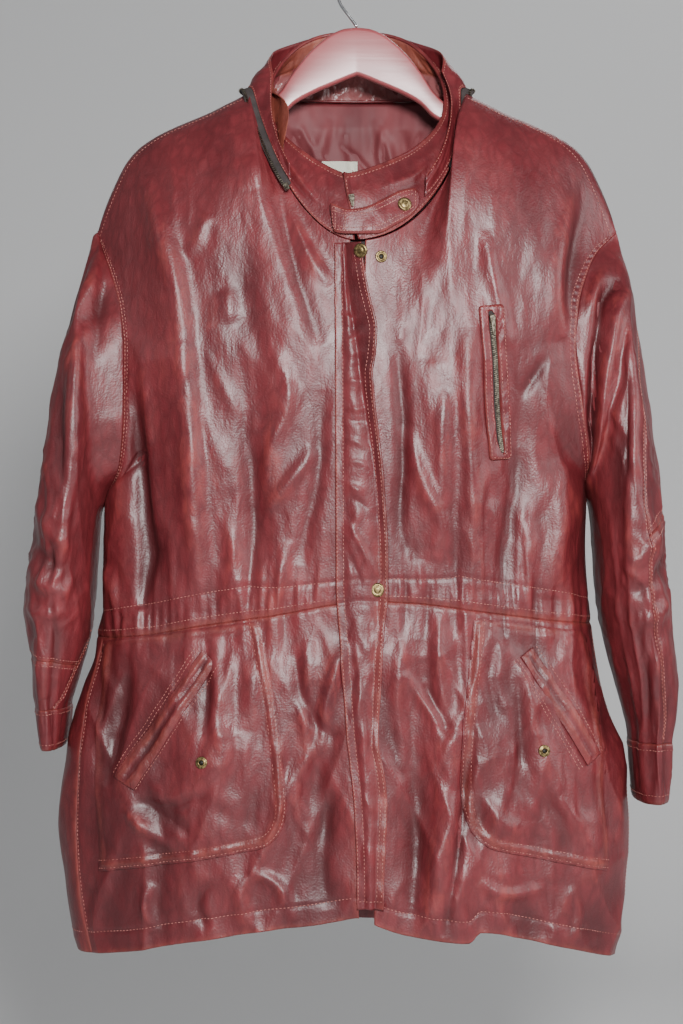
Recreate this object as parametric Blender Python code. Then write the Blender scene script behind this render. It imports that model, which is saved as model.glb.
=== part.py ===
"""A thigh-length leather coat on a wooden hanger, at its real size, in metres.

The origin is where a rail touches the inside of the hook. +Z is up, the coat's front faces -Y, and +X is
the wearer's left. Cloth pieces are walls laid out on one surface of the hanging coat: each is a grid of
surface points, given a thickness inwards, and cut 0.3 mm short of the piece that it is sewn to.
"""

import math

import bmesh
import bpy
import numpy as np
from mathutils import Vector

RIGHT, LEFT = -1, 1
FRONT, BACK = -1, 1

LEATHER = 0.0013
SEAM_GAP = 0.0003
LAYER_GAP = 0.0004

# The shoulder line, from the side of the neck to the tip of the armhole.
NECK_HALF_WIDTH = 0.112
TIP_X, TIP_Z = 0.271, -0.280
SHOULDER = {
    "x": (0.112, 0.150, 0.200, 0.225, 0.240, 0.255, 0.265, 0.271),
    "z": (-0.136, -0.155, -0.175, -0.190, -0.206, -0.235, -0.260, -0.280),
}
# The neck seam is an oval that drops towards the front.
NECK_Y, NECK_HALF_DEPTH = -0.012, 0.077
FRONT_NECK_DROP, BACK_NECK_RISE = 0.164, 0.004
NECK_DROP_POWER = {RIGHT: 1.7, LEFT: 1.0}

# Sections of the body: share 0 is the shoulder tip, 1 the waist seam and 2 the hem. Down to the underarm,
# x is where the armhole seam runs and turn how far round the section that is; below it x is the side.
UNDERARM = 0.675
SECTIONS = {
    "share": (0, 0.06, 0.11, 0.2, 0.3, 0.45, 0.58, 0.675, 0.8, 1, 1.2, 1.4, 1.6, 1.8, 2),
    "right_x": (0.271, 0.262, 0.2536, 0.2425, 0.2380, 0.2385, 0.2440, 0.262, 0.2645, 0.2685,
                0.290, 0.3035, 0.309, 0.3055, 0.2916),
    "left_x": (0.271, 0.2475, 0.2365, 0.225, 0.2215, 0.229, 0.2375, 0.240, 0.2385, 0.2445,
               0.2555, 0.275, 0.284, 0.280, 0.2696),
    "right_turn": (90, 76, 68, 62, 60, 61, 68, 90, 90, 90, 90, 90, 90, 90, 90),
    "left_turn": (90, 68, 61, 56, 55, 57, 68, 90, 90, 90, 90, 90, 90, 90, 90),
    "front": (0.084, 0.086, 0.088, 0.091, 0.093, 0.094, 0.093, 0.092, 0.090, 0.087,
              0.092, 0.096, 0.099, 0.101, 0.102),
    "back": (0.066, 0.068, 0.070, 0.074, 0.077, 0.078, 0.077, 0.075, 0.071, 0.067,
             0.075, 0.083, 0.088, 0.091, 0.093),
}
FLATNESS = 0.25
ROUNDING = {FRONT: 0.120, BACK: 0.090}

# Heights of the waist seam and the hem across each front, from the centre (0) to the side (1).
EDGES = {
    "across": (0, 0.1, 0.2, 0.4, 0.6, 0.8, 1),
    "right_waist": (-0.661, -0.668, -0.676, -0.687, -0.6975, -0.701, -0.7016),
    "left_waist": (-0.661, -0.6625, -0.6655, -0.675, -0.682, -0.686, -0.687),
    "right_hem": (-0.976, -0.984, -0.989, -1.003, -1.017, -1.023, -1.0245),
    "left_hem": (-0.976, -0.992, -0.996, -1.002, -1.016, -1.028, -1.033),
}
BACK_WAIST, BACK_HEM = -0.694, -1.014
OPENING_DRIFT = 0.022

# The largest folds: x at the top and the bottom, the heights they run between, half width, and rise
# (a trough has a negative one).
FRONT_FOLDS = (
    # top x, bottom x, top z, bottom z, half width, rise
    (-0.205, -0.163, -0.200, -0.655, 0.020, 0.008),
    (-0.222, -0.212, -0.450, -0.690, 0.018, -0.008),
    (-0.100, -0.105, -0.420, -0.640, 0.024, -0.006),
    (-0.060, -0.075, -0.300, -0.560, 0.026, 0.005),
    (0.112, 0.118, -0.330, -0.650, 0.022, 0.006),
    (0.072, 0.082, -0.420, -0.620, 0.020, 0.005),
    (0.162, 0.152, -0.400, -0.660, 0.022, -0.007),
    (0.200, 0.197, -0.200, -0.400, 0.022, 0.007),
    (0.205, 0.198, -0.520, -0.660, 0.018, 0.006),
    (-0.215, -0.250, -0.700, -0.860, 0.022, -0.007),
    (-0.135, -0.150, -0.720, -0.980, 0.030, 0.006),
    (-0.040, -0.050, -0.740, -0.960, 0.022, -0.006),
    (0.105, 0.086, -0.850, -1.060, 0.022, 0.010),
    (0.060, 0.056, -0.700, -0.960, 0.020, -0.006),
    (0.170, 0.190, -0.760, -1.000, 0.030, -0.006),
)
BACK_FOLDS = (
    (-0.180, -0.160, -0.260, -0.660, 0.026, 0.008),
    (-0.070, -0.060, -0.330, -0.680, 0.026, -0.007),
    (0.060, 0.050, -0.380, -0.690, 0.024, 0.006),
    (0.180, 0.165, -0.260, -0.640, 0.026, 0.008),
    (0.120, 0.125, -0.420, -0.690, 0.020, -0.006),
    (-0.200, -0.230, -0.720, -1.040, 0.028, -0.008),
    (-0.090, -0.100, -0.720, -1.050, 0.030, 0.009),
    (0.020, 0.030, -0.740, -1.060, 0.028, -0.007),
    (0.130, 0.140, -0.720, -1.040, 0.030, 0.009),
    (0.220, 0.240, -0.760, -1.040, 0.024, -0.006),
)

# Sleeve rings below the armhole. Each runs from a point on the outer line of the sleeve to one on the
# line that faces the body, and reaches half_depth to the front and to the back.
SLEEVES = {
    RIGHT: {
        "outer_x": (0.281, 0.293, 0.307, 0.319, 0.330, 0.3395, 0.3438, 0.340, 0.3365, 0.3335),
        "outer_z": (-0.312, -0.356, -0.410, -0.478, -0.548, -0.615, -0.674, -0.718, -0.757, -0.7735),
        "inner_x": (0.2665, 0.269, 0.270, 0.271, 0.2725, 0.2745, 0.278, 0.287, 0.2965, 0.3005),
        "inner_z": (-0.570, -0.580, -0.594, -0.613, -0.638, -0.668, -0.700, -0.730, -0.760, -0.7735),
        "half_depth": (0.066, 0.080, 0.088, 0.090, 0.088, 0.083, 0.076, 0.069, 0.062, 0.060),
    },
    LEFT: {
        "outer_x": (0.280, 0.2875, 0.2955, 0.306, 0.3187, 0.3225, 0.329, 0.3335, 0.332, 0.328),
        "outer_z": (-0.314, -0.358, -0.412, -0.480, -0.570, -0.624, -0.685, -0.738, -0.780, -0.808),
        "inner_x": (0.2435, 0.2455, 0.2465, 0.2475, 0.249, 0.2515, 0.257, 0.269, 0.2800, 0.2835),
        "inner_z": (-0.560, -0.571, -0.586, -0.607, -0.638, -0.670, -0.705, -0.748, -0.785, -0.808),
        "half_depth": (0.064, 0.078, 0.086, 0.089, 0.088, 0.085, 0.079, 0.072, 0.066, 0.062),
    },
}
CUFF_ENDS = {
    # outer x, outer z, inner x, inner z, half depth at the open end
    RIGHT: (0.3275, -0.8155, 0.3060, -0.8155, 0.056),
    LEFT: (0.3225, -0.870, 0.2890, -0.870, 0.058),
}
ARMHOLE_STEPS = 8

# The collar leans forward: where the top edge lies for each part of the neck seam, in degrees from the
# centre of the back.
COLLAR_LEAN = {
    "seam": (0, 30, 60, 90, 118, 135, 150, 165, 180),
    "top": (0, 24, 48, 73, 99, 117, 135, 156, 180),
}
COLLAR_TOP_HALF_WIDTH, COLLAR_TOP_HALF_DEPTH, COLLAR_TOP_Y = 0.092, 0.064, -0.011
COLLAR_TOP_Z, COLLAR_TOP_SLOPE = -0.145, 0.087
COLLAR_BULGE, COLLAR_TWIST = 0.004, 0.009
COVER_HEIGHT = {
    "seam": (0, 90, 112.5, 135, 150, 157.5),
    "share": (0.97, 0.97, 0.88, 0.52, 0.36, 0.24),
}
COVER_FOOT, COVER_STAND_OFF = 0.14, 0.0050

HANGER_THICKNESS = 0.011
HANGER = {
    "x": (0, 0.025, 0.05, 0.065, 0.080, 0.095, 0.112, 0.130, 0.150, 0.175, 0.200, 0.213),
    "top": (-0.066, -0.069, -0.092, -0.114, -0.136, -0.1465, -0.1505, -0.1546, -0.1609, -0.1704,
            -0.1809, -0.1904),
    "bottom": (-0.116, -0.1260, -0.1370, -0.1455, -0.160, -0.1680, -0.1760, -0.1840, -0.1920,
               -0.2010, -0.2080, -0.2060),
}
HOOK_WIRE, HOOK_RADIUS = 0.00175, 0.0225

COLORS = {
    "leather": ((0.155, 0.028, 0.032), 0.38, 0.0),
    "facing": ((0.230, 0.050, 0.028), 0.60, 0.0),
    "lining": ((0.120, 0.020, 0.026), 0.45, 0.0),
    "tape": ((0.050, 0.042, 0.040), 0.75, 0.0),
    "label": ((0.620, 0.600, 0.470), 0.80, 0.0),
    "brass": ((0.280, 0.200, 0.080), 0.35, 1.0),
    "wood": ((0.330, 0.060, 0.060), 0.22, 0.0),
    "chrome": ((0.700, 0.700, 0.700), 0.15, 1.0),
}


# ---------------------------------------------------------------- the surface of the hanging coat


def along(table, key, column, at):
    """Reads a column at a place between its rows, on a smooth curve that doesn't overshoot them."""
    xs, ys = table[key], table[column]
    at = min(max(at, xs[0]), xs[-1])
    last = len(xs) - 1
    row = min(max(int(np.searchsorted(xs, at)) - 1, 0), last - 1)
    slopes = [(ys[i + 1] - ys[i]) / (xs[i + 1] - xs[i]) for i in range(last)]

    def tangent(i):
        if i in (0, last):
            return slopes[min(i, last - 1)]
        before, after = slopes[i - 1], slopes[i]
        return 0 if before * after <= 0 else 2 * before * after / (before + after)

    width = xs[row + 1] - xs[row]
    s = (at - xs[row]) / width
    return (
        (2 * s**3 - 3 * s**2 + 1) * ys[row]
        + (s**3 - 2 * s**2 + s) * width * tangent(row)
        + (3 * s**2 - 2 * s**3) * ys[row + 1]
        + (s**3 - s**2) * width * tangent(row + 1)
    )


def neck_point(side, face, x):
    """A point of the neck seam above x: (y, z)."""
    reach = math.sqrt(max(0, 1 - (x / NECK_HALF_WIDTH) ** 2))
    y = NECK_Y + face * NECK_HALF_DEPTH * reach
    rise = BACK_NECK_RISE * reach if face == BACK else -FRONT_NECK_DROP * reach ** NECK_DROP_POWER[side]
    return y, SHOULDER["z"][0] + rise


def top_edge(side, face, x):
    """The upper edge of a front or of the back at x: the neck seam, then the shoulder seam."""
    if x < NECK_HALF_WIDTH:
        return neck_point(side, face, x)
    y = NECK_Y * max(0, 1 - (x - NECK_HALF_WIDTH) / 0.08)
    return y, along(SHOULDER, "x", "z", x)


def edge_height(side, face, across, name, back_height):
    column = ("right_" if side == RIGHT else "left_") + name
    if face == FRONT:
        return along(EDGES, "across", column, across)
    side_height = EDGES[column][-1]
    return back_height + (side_height - back_height) * math.sin(math.radians(90 * across)) ** 2


def fold_rise(face, x, z):
    """How far the folds lift the cloth at (x, z)."""
    total = 0.0
    for top_x, bottom_x, top_z, bottom_z, half_width, rise in FRONT_FOLDS if face == FRONT else BACK_FOLDS:
        share = (top_z - z) / (top_z - bottom_z)
        if 0 < share < 1:
            centre = top_x + (bottom_x - top_x) * share
            total += rise * math.sin(math.pi * share) ** 0.7 * math.exp(-(((x - centre) / half_width) ** 2))
    return total


def body(side, face, across, share):
    """The outer surface. across runs from the centre (0) to the side (1) and wraps on to the other face."""
    if across < 0:
        side, across = -side, -across
    if share < 0:
        face, share = -face, -share
    if across > 1:
        face, across = -face, 2 - across
    name = "right" if side == RIGHT else "left"
    turn = math.radians(along(SECTIONS, "share", name + "_turn", share))
    reach = along(SECTIONS, "share", name + "_x", share)
    depth = along(SECTIONS, "share", "front" if face == FRONT else "back", share)
    top_x = TIP_X * math.sin(math.radians(90 * across))
    # Columns keep straight below the neck seam, and are evenly spaced near the armhole.
    sideways = math.sin(turn * across) / math.sin(turn)
    sideways = top_x / TIP_X + (sideways - top_x / TIP_X) * across**2
    angle = math.asin(min(math.sin(turn) * sideways, 1))
    y_top, z_top = top_edge(side, face, top_x)
    waist = edge_height(side, face, across, "waist", BACK_WAIST)
    if share <= 1:
        z = z_top + (waist - z_top) * share
    else:
        z = waist + (edge_height(side, face, across, "hem", BACK_HEM) - waist) * (share - 1)
    x = side * reach * sideways
    down = min(max((z_top - z) / ROUNDING[face], 0), 1)
    # The cloth turns over the hanger along the shoulder, and hangs straight down from the neck seam.
    ridge = min(max((top_x - 0.085) / 0.05, 0), 1)
    rounded = (down * (2 - down)) ** (1 - 0.5 * ridge)
    edge_fade = math.sin(min(max(1 - across, 0), 0.25) * 2 * math.pi)
    lift = depth * math.cos(angle) * (1 + FLATNESS * math.sin(angle) ** 2)
    lift += fold_rise(face, x, z) * edge_fade
    y = y_top + (face * lift - y_top) * rounded
    return Vector((x, y, z))


def side_seam(side, share):
    """Where the side seam runs. It comes round to the front below the waist on the right."""
    if side == LEFT or share <= UNDERARM:
        return 1.0
    down = (share - UNDERARM) / (2 - UNDERARM)
    return 1 - 0.24 * math.sin(min(down * 1.4, 1) * math.pi / 2)


def opening_drift(across, share):
    """How far the cloth by the front opening strays to the wearer's left on its way down to the hem."""
    return OPENING_DRIFT * max(0, share - 1) * max(1 - abs(across), 0) ** 3


def panel_point(side, face, across, share):
    """A point of a front or of the back, with across 1 on its side seam."""
    moved = (1 - side_seam(side, share)) * across**3
    if face == BACK:
        return body(side, face, across + moved, share)
    return body(side, face, across - moved + side * opening_drift(across, share), share)


def locate(surface, x, z, start):
    """The point of a surface(u, v) at (x, z), and the way it faces there, found from a start (u, v)."""
    u, v = start
    step = 0.003
    for _ in range(25):
        here = surface(u, v)
        by_u = (surface(u + step, v) - surface(u - step, v)) / (2 * step)
        by_v = (surface(u, v + step) - surface(u, v - step)) / (2 * step)
        scale = by_u.x * by_v.z - by_v.x * by_u.z
        off_x, off_z = x - here.x, z - here.z
        u += 0.8 * (off_x * by_v.z - off_z * by_v.x) / scale
        v += 0.8 * (off_z * by_u.x - off_x * by_u.z) / scale
    normal = by_u.cross(by_v).normalized()
    return surface(u, v), -normal if normal.y > 0 else normal


def spot(x, z):
    """The front's surface point at (x, z), and the way it faces."""
    side = RIGHT if x < 0 else LEFT
    return locate(lambda across, share: body(side, FRONT, across, share), x, z, (0.5 * abs(x) / 0.2, 0.8))


def armhole_share(step):
    """Share of the body at a column of the sleeve: 0 at the tip, then down the front and up the back."""
    return UNDERARM * (1 - math.cos(math.pi * step / ARMHOLE_STEPS)) / 2


def sleeve_point(side, step, ring):
    """A point of a sleeve. Step 0 is its outer line, ARMHOLE_STEPS faces the body; ring 0 is the armhole."""
    step %= 2 * ARMHOLE_STEPS
    face, down = (FRONT, step) if step <= ARMHOLE_STEPS else (BACK, 2 * ARMHOLE_STEPS - step)
    if ring < 0 and FOLDED_ARMHOLE < armhole_share(down) < UNDERARM:
        return 2 * sleeve_point(side, step, 0) - sleeve_point(side, step, -ring)
    if ring <= 0:
        return body(side, face, 1 + SHOULDER_STEP * ring, armhole_share(down))
    rows = SLEEVES[side]
    last = len(rows["outer_x"])
    if ring <= last:
        outer_x, outer_z, inner_x, inner_z, half_depth = (rows[name][ring - 1] for name in rows)
    else:
        end = CUFF_ENDS[side]
        start = [rows[name][last - 1] for name in rows]
        outer_x, outer_z, inner_x, inner_z, half_depth = (
            a + (b - a) * (ring - last) for a, b in zip(start, end)
        )
    angle = math.pi * step / ARMHOLE_STEPS
    towards = (1 - math.cos(angle)) / 2
    x = outer_x + (inner_x - outer_x) * towards
    z = outer_z + (inner_z - outer_z) * towards
    return Vector((side * x, -half_depth * math.sin(angle), z))


def collar_base(angle):
    """The neck seam at an angle from the centre of the back, positive to the wearer's left."""
    x = NECK_HALF_WIDTH * math.sin(math.radians(angle))
    y, z = neck_point(LEFT if x > 0 else RIGHT, BACK if abs(angle) <= 90 else FRONT, abs(x))
    return Vector((x, y, z))


def collar_top(angle):
    size = abs(angle)
    turn = math.radians(along(COLLAR_LEAN, "seam", "top", size))
    across = math.sin(turn) ** (0.75 if turn < math.pi / 2 else 1.7)
    x = math.copysign(COLLAR_TOP_HALF_WIDTH * across, angle)
    x -= COLLAR_TWIST * max(0, -math.cos(turn)) ** 4
    y = COLLAR_TOP_Y + COLLAR_TOP_HALF_DEPTH * math.cos(turn)
    return Vector((x, y, COLLAR_TOP_Z + COLLAR_TOP_SLOPE * math.cos(turn)))


def collar_point(angle, height):
    """A point of the stand. Its foot keeps further off the seam at the sides, where it runs along it."""
    foot = 0.003 + 0.089 * math.exp(-(((abs(angle) - 122) / 34) ** 2))
    height = foot + (1 - foot) * height
    base, top = collar_base(angle), collar_top(angle)
    middle = base.lerp(top, height)
    outwards = Vector((middle.x, middle.y - NECK_Y, 0)).normalized()
    return middle + outwards * COLLAR_BULGE * math.sin(math.pi * min(max(height, 0), 1))


def collar_normal(angle, height):
    over = collar_point(angle + 2, height) - collar_point(angle - 2, height)
    up = collar_point(angle, height + 0.03) - collar_point(angle, height - 0.03)
    return up.cross(over).normalized()


def cover_point(angle, height):
    """The layer round the collar that holds the hood: close at its foot, and standing off at its top."""
    share = COVER_FOOT + (along(COVER_HEIGHT, "seam", "share", abs(angle)) - COVER_FOOT) * height
    return collar_point(angle, share) + collar_normal(angle, share) * (0.0042 + COVER_STAND_OFF * share)


# ---------------------------------------------------------------- making pieces


def clear_scene():
    for old in list(bpy.data.objects):
        bpy.data.objects.remove(old, do_unlink=True)


def material(name):
    found = bpy.data.materials.get(name)
    if found:
        return found
    color, roughness, metallic = COLORS[name]
    made = bpy.data.materials.new(name)
    made.use_nodes = True
    shader = made.node_tree.nodes["Principled BSDF"]
    shader.inputs["Base Color"].default_value = (*color, 1)
    shader.inputs["Roughness"].default_value = roughness
    shader.inputs["Metallic"].default_value = metallic
    return made


def keep(obj, material_name):
    """Names the object's material, and puts it in the coat's collection under the coat's empty."""
    obj.data.materials.clear()
    obj.data.materials.append(material(material_name))
    for collection in list(obj.users_collection):
        collection.objects.unlink(obj)
    COAT.objects.link(obj)
    obj.parent = CARRIER
    return obj


def mesh_object(name, points, faces):
    mesh = bpy.data.meshes.new(name)
    mesh.from_pydata([tuple(p) for p in points], [], faces)
    mesh.update()
    obj = bpy.data.objects.new(name, mesh)
    bpy.context.scene.collection.objects.link(obj)
    return obj


def unit(vectors):
    return vectors / np.linalg.norm(vectors, axis=-1, keepdims=True)


def wall(name, point, columns, rows, centre, lift=0.0, thickness=LEATHER, round_=False, trim=SEAM_GAP / 2):
    """A closed wall on a grid of surface points.

    point(column, row) gives the surface round a centre (x, y). The wall lies inside the surface, or above
    it where lift is positive. The lists hold one more value at each end, which only gives the edge the
    slope of the next piece.
    """
    grid = np.array([[point(c, r) for r in rows] for c in columns])
    over = unit(np.diff(grid[:, 1:-1], axis=0))
    down = unit(np.diff(grid[1:-1], axis=1))
    normals = unit(np.cross(over[1:] + over[:-1], down[:, 1:] + down[:, :-1]))
    surface = grid[1:-1, 1:-1].copy()
    from_centre = surface[..., :2] - np.array(centre)
    if (from_centre * normals[..., :2]).sum() < 0:
        normals = -normals
    for edge, inside in ((surface[:, 0], surface[:, 1]), (surface[:, -1], surface[:, -2])):
        edge += trim * unit(inside - edge)
    if not round_:
        for edge, inside in ((surface[0], surface[1]), (surface[-1], surface[-2])):
            edge += trim * unit(inside - edge)
    top = lift + thickness if lift > 0 else lift
    layers = np.stack([surface + normals * top, surface + normals * (top - thickness)])
    count, length = surface.shape[:2]

    def at(layer, i, j):
        return (layer * count + i % count) * length + j

    def quad(a, b, c, d):
        faces.extend(((a, b, c), (a, c, d)))

    faces = []
    spans = count if round_ else count - 1
    for i in range(spans):
        for j in range(length - 1):
            quad(at(0, i, j), at(0, i, j + 1), at(0, i + 1, j + 1), at(0, i + 1, j))
            quad(at(1, i, j), at(1, i + 1, j), at(1, i + 1, j + 1), at(1, i, j + 1))
        quad(at(0, i, 0), at(0, i + 1, 0), at(1, i + 1, 0), at(1, i, 0))
        quad(at(0, i, length - 1), at(1, i, length - 1), at(1, i + 1, length - 1), at(0, i + 1, length - 1))
    if not round_:
        for j in range(length - 1):
            quad(at(0, 0, j), at(1, 0, j), at(1, 0, j + 1), at(0, 0, j + 1))
            quad(at(0, spans, j), at(0, spans, j + 1), at(1, spans, j + 1), at(1, spans, j))
    obj = mesh_object(name, layers.reshape(-1, 3), faces)
    face_outwards(obj)
    return obj


def face_outwards(obj):
    bm = bmesh.new()
    bm.from_mesh(obj.data)
    bmesh.ops.recalc_face_normals(bm, faces=bm.faces)
    bm.to_mesh(obj.data)
    bm.free()


def outline_cutter(name, corners, radius, face=FRONT):
    """A prism along Y through the front or the back, from the (x, z) corners of a flat outline."""
    bm = bmesh.new()
    ring = [bm.verts.new((x, 0.0, z)) for x, z in corners]
    bm.faces.new(ring)
    if radius:
        bmesh.ops.bevel(bm, geom=ring, offset=radius, segments=4, profile=0.5, affect="VERTICES")
    extruded = bmesh.ops.extrude_face_region(bm, geom=bm.faces[:])["geom"]
    moved = [v for v in extruded if isinstance(v, bmesh.types.BMVert)]
    bmesh.ops.translate(bm, vec=(0, face * 0.2, 0), verts=moved)
    bmesh.ops.recalc_face_normals(bm, faces=bm.faces)
    mesh = bpy.data.meshes.new(name)
    bm.to_mesh(mesh)
    bm.free()
    cutter = bpy.data.objects.new(name, mesh)
    CUTTERS.objects.link(cutter)
    cutter.hide_render = True
    cutter.display_type = "WIRE"
    return cutter


def cut(obj, cutter, operation):
    modifier = obj.modifiers.new(cutter.name, "BOOLEAN")
    modifier.operation = operation
    modifier.object = cutter
    return obj


def in_front(point, side):
    return lambda across, share: point(side, FRONT, across, share)


# ---------------------------------------------------------------- body


def neck_across(degrees):
    """How far across the body the neck seam stands, by its angle from the centre line."""
    return math.degrees(math.asin(NECK_HALF_WIDTH * math.sin(math.radians(degrees)) / TIP_X)) / 90


NECK_STEPS = (18, 36, 54, 72, 90)
OPENING_ACROSS = 0.018
NECK_COLUMNS = [neck_across(a) for a in NECK_STEPS]
SHOULDER_STEP = (1 - NECK_COLUMNS[-1]) / 7
SHOULDER_COLUMNS = [NECK_COLUMNS[-1] + SHOULDER_STEP * i for i in range(1, 8)]
UPPER_ROWS = [UNDERARM * (1 - math.cos(math.pi * i / ARMHOLE_STEPS)) / 2 for i in range(ARMHOLE_STEPS + 1)]
UPPER_ROWS += [0.75, 0.83, 0.915, 1.0]
# Below this share the armhole seam is a fold that turns inwards.
FOLDED_ARMHOLE = 0.4
LOWER_ROWS = [1 + i / 8 for i in range(9)]
BODY_CENTRE = (0, 0)


def upper_point(side, face, across, share):
    """panel_point, which also takes the step past the neck seam and past the armhole."""
    if share < 0 and across < NECK_COLUMNS[-1]:
        return 2 * panel_point(side, face, across, 0) - panel_point(side, face, across, -share)
    if across > 1 and FOLDED_ARMHOLE < share < UNDERARM:
        return 2 * panel_point(side, face, 1, share) - panel_point(side, face, 2 - across, share)
    if across > 1 and share < UNDERARM:
        step = ARMHOLE_STEPS / math.pi * math.acos(1 - 2 * max(share, 0) / UNDERARM)
        column = step if face == FRONT else 2 * ARMHOLE_STEPS - step
        return sleeve_point(side, column, 1)
    return panel_point(side, face, across, share)


def make_fronts():
    upper = [0, OPENING_ACROSS, *NECK_COLUMNS, *SHOULDER_COLUMNS, 1 + SHOULDER_STEP]
    lower = [0, OPENING_ACROSS, *[i / 11 for i in range(1, 13)]]
    for side, name in ((RIGHT, "right"), (LEFT, "left")):
        rows = [-UPPER_ROWS[1], *UPPER_ROWS, 1.125]
        piece = wall(f"front_{name}_upper", in_front(upper_point, side), upper, rows, BODY_CENTRE)
        keep(piece, "leather")
        rows = [0.915, *LOWER_ROWS, 2.125]
        piece = wall(f"front_{name}_lower", in_front(panel_point, side), lower, rows, BODY_CENTRE)
        keep(piece, "leather")


def back_point(across, share):
    """A point of the back: across is negative on the wearer's right."""
    side = RIGHT if across < 0 else LEFT
    return upper_point(side, BACK, abs(across), share)


def both_ways(columns):
    return [-c for c in reversed(columns)] + [0] + list(columns)


def make_back():
    upper = both_ways([*NECK_COLUMNS, *SHOULDER_COLUMNS, 1 + SHOULDER_STEP])
    keep(wall("back_upper", back_point, upper, [-UPPER_ROWS[1], *UPPER_ROWS, 1.125], BODY_CENTRE), "leather")
    lower = both_ways([i / 10 for i in range(1, 12)])
    keep(wall("back_lower", back_point, lower, [0.915, *LOWER_ROWS, 2.125], BODY_CENTRE), "leather")


def make_lining():
    """The satin and the blank label that show through the neck."""
    columns = both_ways(NECK_COLUMNS)
    rows = [-UPPER_ROWS[1], *UPPER_ROWS[:7]]
    depth = -LEATHER - LAYER_GAP
    keep(wall("back_lining", back_point, columns, rows, BODY_CENTRE, depth, 0.0008), "lining")
    label = wall("neck_label", back_point, columns, rows, BODY_CENTRE, depth - 0.0008 - LAYER_GAP, 0.0006)
    corners = ((-0.050, -0.194), (0.001, -0.194), (0.001, -0.234), (-0.050, -0.234))
    keep(cut(label, outline_cutter("label_outline", corners, 0.001, BACK), "INTERSECT"), "label")


# ---------------------------------------------------------------- front closing


FLAP = {
    "down": (0.0, 0.03, 0.07, 0.16, 0.24, 0.31, 0.39, 0.48, 0.52, 0.60, 0.69, 0.75, 0.80, 0.845, 0.93, 1.0),
    "seam_x": (-0.018, -0.018, -0.018, -0.018, -0.018, -0.018, -0.018, -0.018, -0.018, -0.0175, -0.013,
               -0.010, -0.006, -0.003, -0.001, 0.0005),
    "edge_x": (0.0055, 0.0125, 0.0200, 0.0165, 0.0145, 0.0220, 0.0270, 0.0300, 0.0300, 0.0255, 0.0222,
               0.0205, 0.0262, 0.0290, 0.0265, 0.0250),
    # How far the middle stands off the front, so that the free half turns away.
    "rise": (0.0150, 0.0135, 0.0115, 0.0085, 0.0060, 0.0045, 0.0035, 0.0030, 0.0030, 0.0030, 0.0030,
             0.0030, 0.0030, 0.0030, 0.0030, 0.0030),
}
FLAP_TOP, FLAP_BOTTOM = -0.3025, -0.967
FLAP_LIFT = 0.0007


def flap_point(across, down):
    z = FLAP_TOP + (FLAP_BOTTOM - FLAP_TOP) * down
    seam, edge = along(FLAP, "down", "seam_x", down), along(FLAP, "down", "edge_x", down)
    point, normal = spot(seam + (edge - seam) * across, z)
    return point + normal * along(FLAP, "down", "rise", down) * math.sin(math.pi * across)


def zip_point(across, share):
    if share < 0:
        return 2 * body(LEFT, FRONT, across, 0) - body(LEFT, FRONT, across, -share)
    return body(LEFT, FRONT, across + opening_drift(across, share), share)


def make_closing():
    rows = [-UPPER_ROWS[1], *UPPER_ROWS, *LOWER_ROWS[1:-1], LOWER_ROWS[-1]]
    strip = [-0.03, -OPENING_ACROSS, OPENING_ACROSS, 0.03]
    keep(wall("front_zip", zip_point, strip, rows, BODY_CENTRE, 0, 0.0016), "tape")
    down = [i / 24 for i in range(-1, 26)]
    across = [i / 6 for i in range(-1, 8)]
    keep(wall("front_flap", flap_point, across, down, BODY_CENTRE, FLAP_LIFT, LEATHER), "leather")


# ---------------------------------------------------------------- pockets


POCKETS = {
    RIGHT: ((-0.0957, -0.690), (-0.0827, -0.760), (-0.0747, -0.820), (-0.0707, -0.862), (-0.0790, -0.895),
            (-0.1000, -0.9085), (-0.163, -0.9205), (-0.230, -0.9316), (-0.262, -0.9360), (-0.262, -0.712),
            (-0.230, -0.7095), (-0.160, -0.697)),
    LEFT: ((0.1173, -0.682), (0.1143, -0.700), (0.1053, -0.780), (0.1023, -0.840), (0.1085, -0.878),
           (0.1220, -0.901), (0.1400, -0.911), (0.2056, -0.924), (0.2480, -0.936), (0.2480, -0.800),
           (0.230, -0.694), (0.170, -0.688)),
}
POCKET_WELTS = {
    RIGHT: ((-0.1554, -0.7107), (-0.1423, -0.7248), (-0.2227, -0.8520), (-0.2448, -0.8400)),
    LEFT: ((0.1640, -0.7180), (0.1770, -0.7087), (0.2440, -0.8180), (0.2310, -0.8290)),
}
# x, z, and how far a snap sinks from the smooth surface to the faceted patch
POCKET_SNAPS = {RIGHT: (-0.1525, -0.8220, 0.0010), LEFT: (0.1850, -0.8120, 0.0)}
CHEST_WELT = ((0.1203, -0.366), (0.1453, -0.364), (0.1563, -0.518), (0.1323, -0.521))
CHEST_SLOT = ((0.1287, -0.371), (0.1373, -0.371), (0.1487, -0.513), (0.1401, -0.513))


def front_layer(name, side, lower, level, thickness, corners, radius=0.0):
    """A piece sewn on to a front: the front's own grid moved out, inside an outline."""
    columns = [0, OPENING_ACROSS, *[i / 11 for i in range(1, 13)]]
    rows = [0.915, *LOWER_ROWS, 2.125]
    point = panel_point
    if not lower:
        columns = [0, OPENING_ACROSS, *NECK_COLUMNS, *SHOULDER_COLUMNS, 1 + SHOULDER_STEP]
        rows = [-UPPER_ROWS[1], *UPPER_ROWS, 1.125]
        point = upper_point
    obj = wall(name, in_front(point, side), columns, rows, BODY_CENTRE, level, thickness)
    return cut(obj, outline_cutter(name + "_outline", corners, radius), "INTERSECT")


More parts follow.
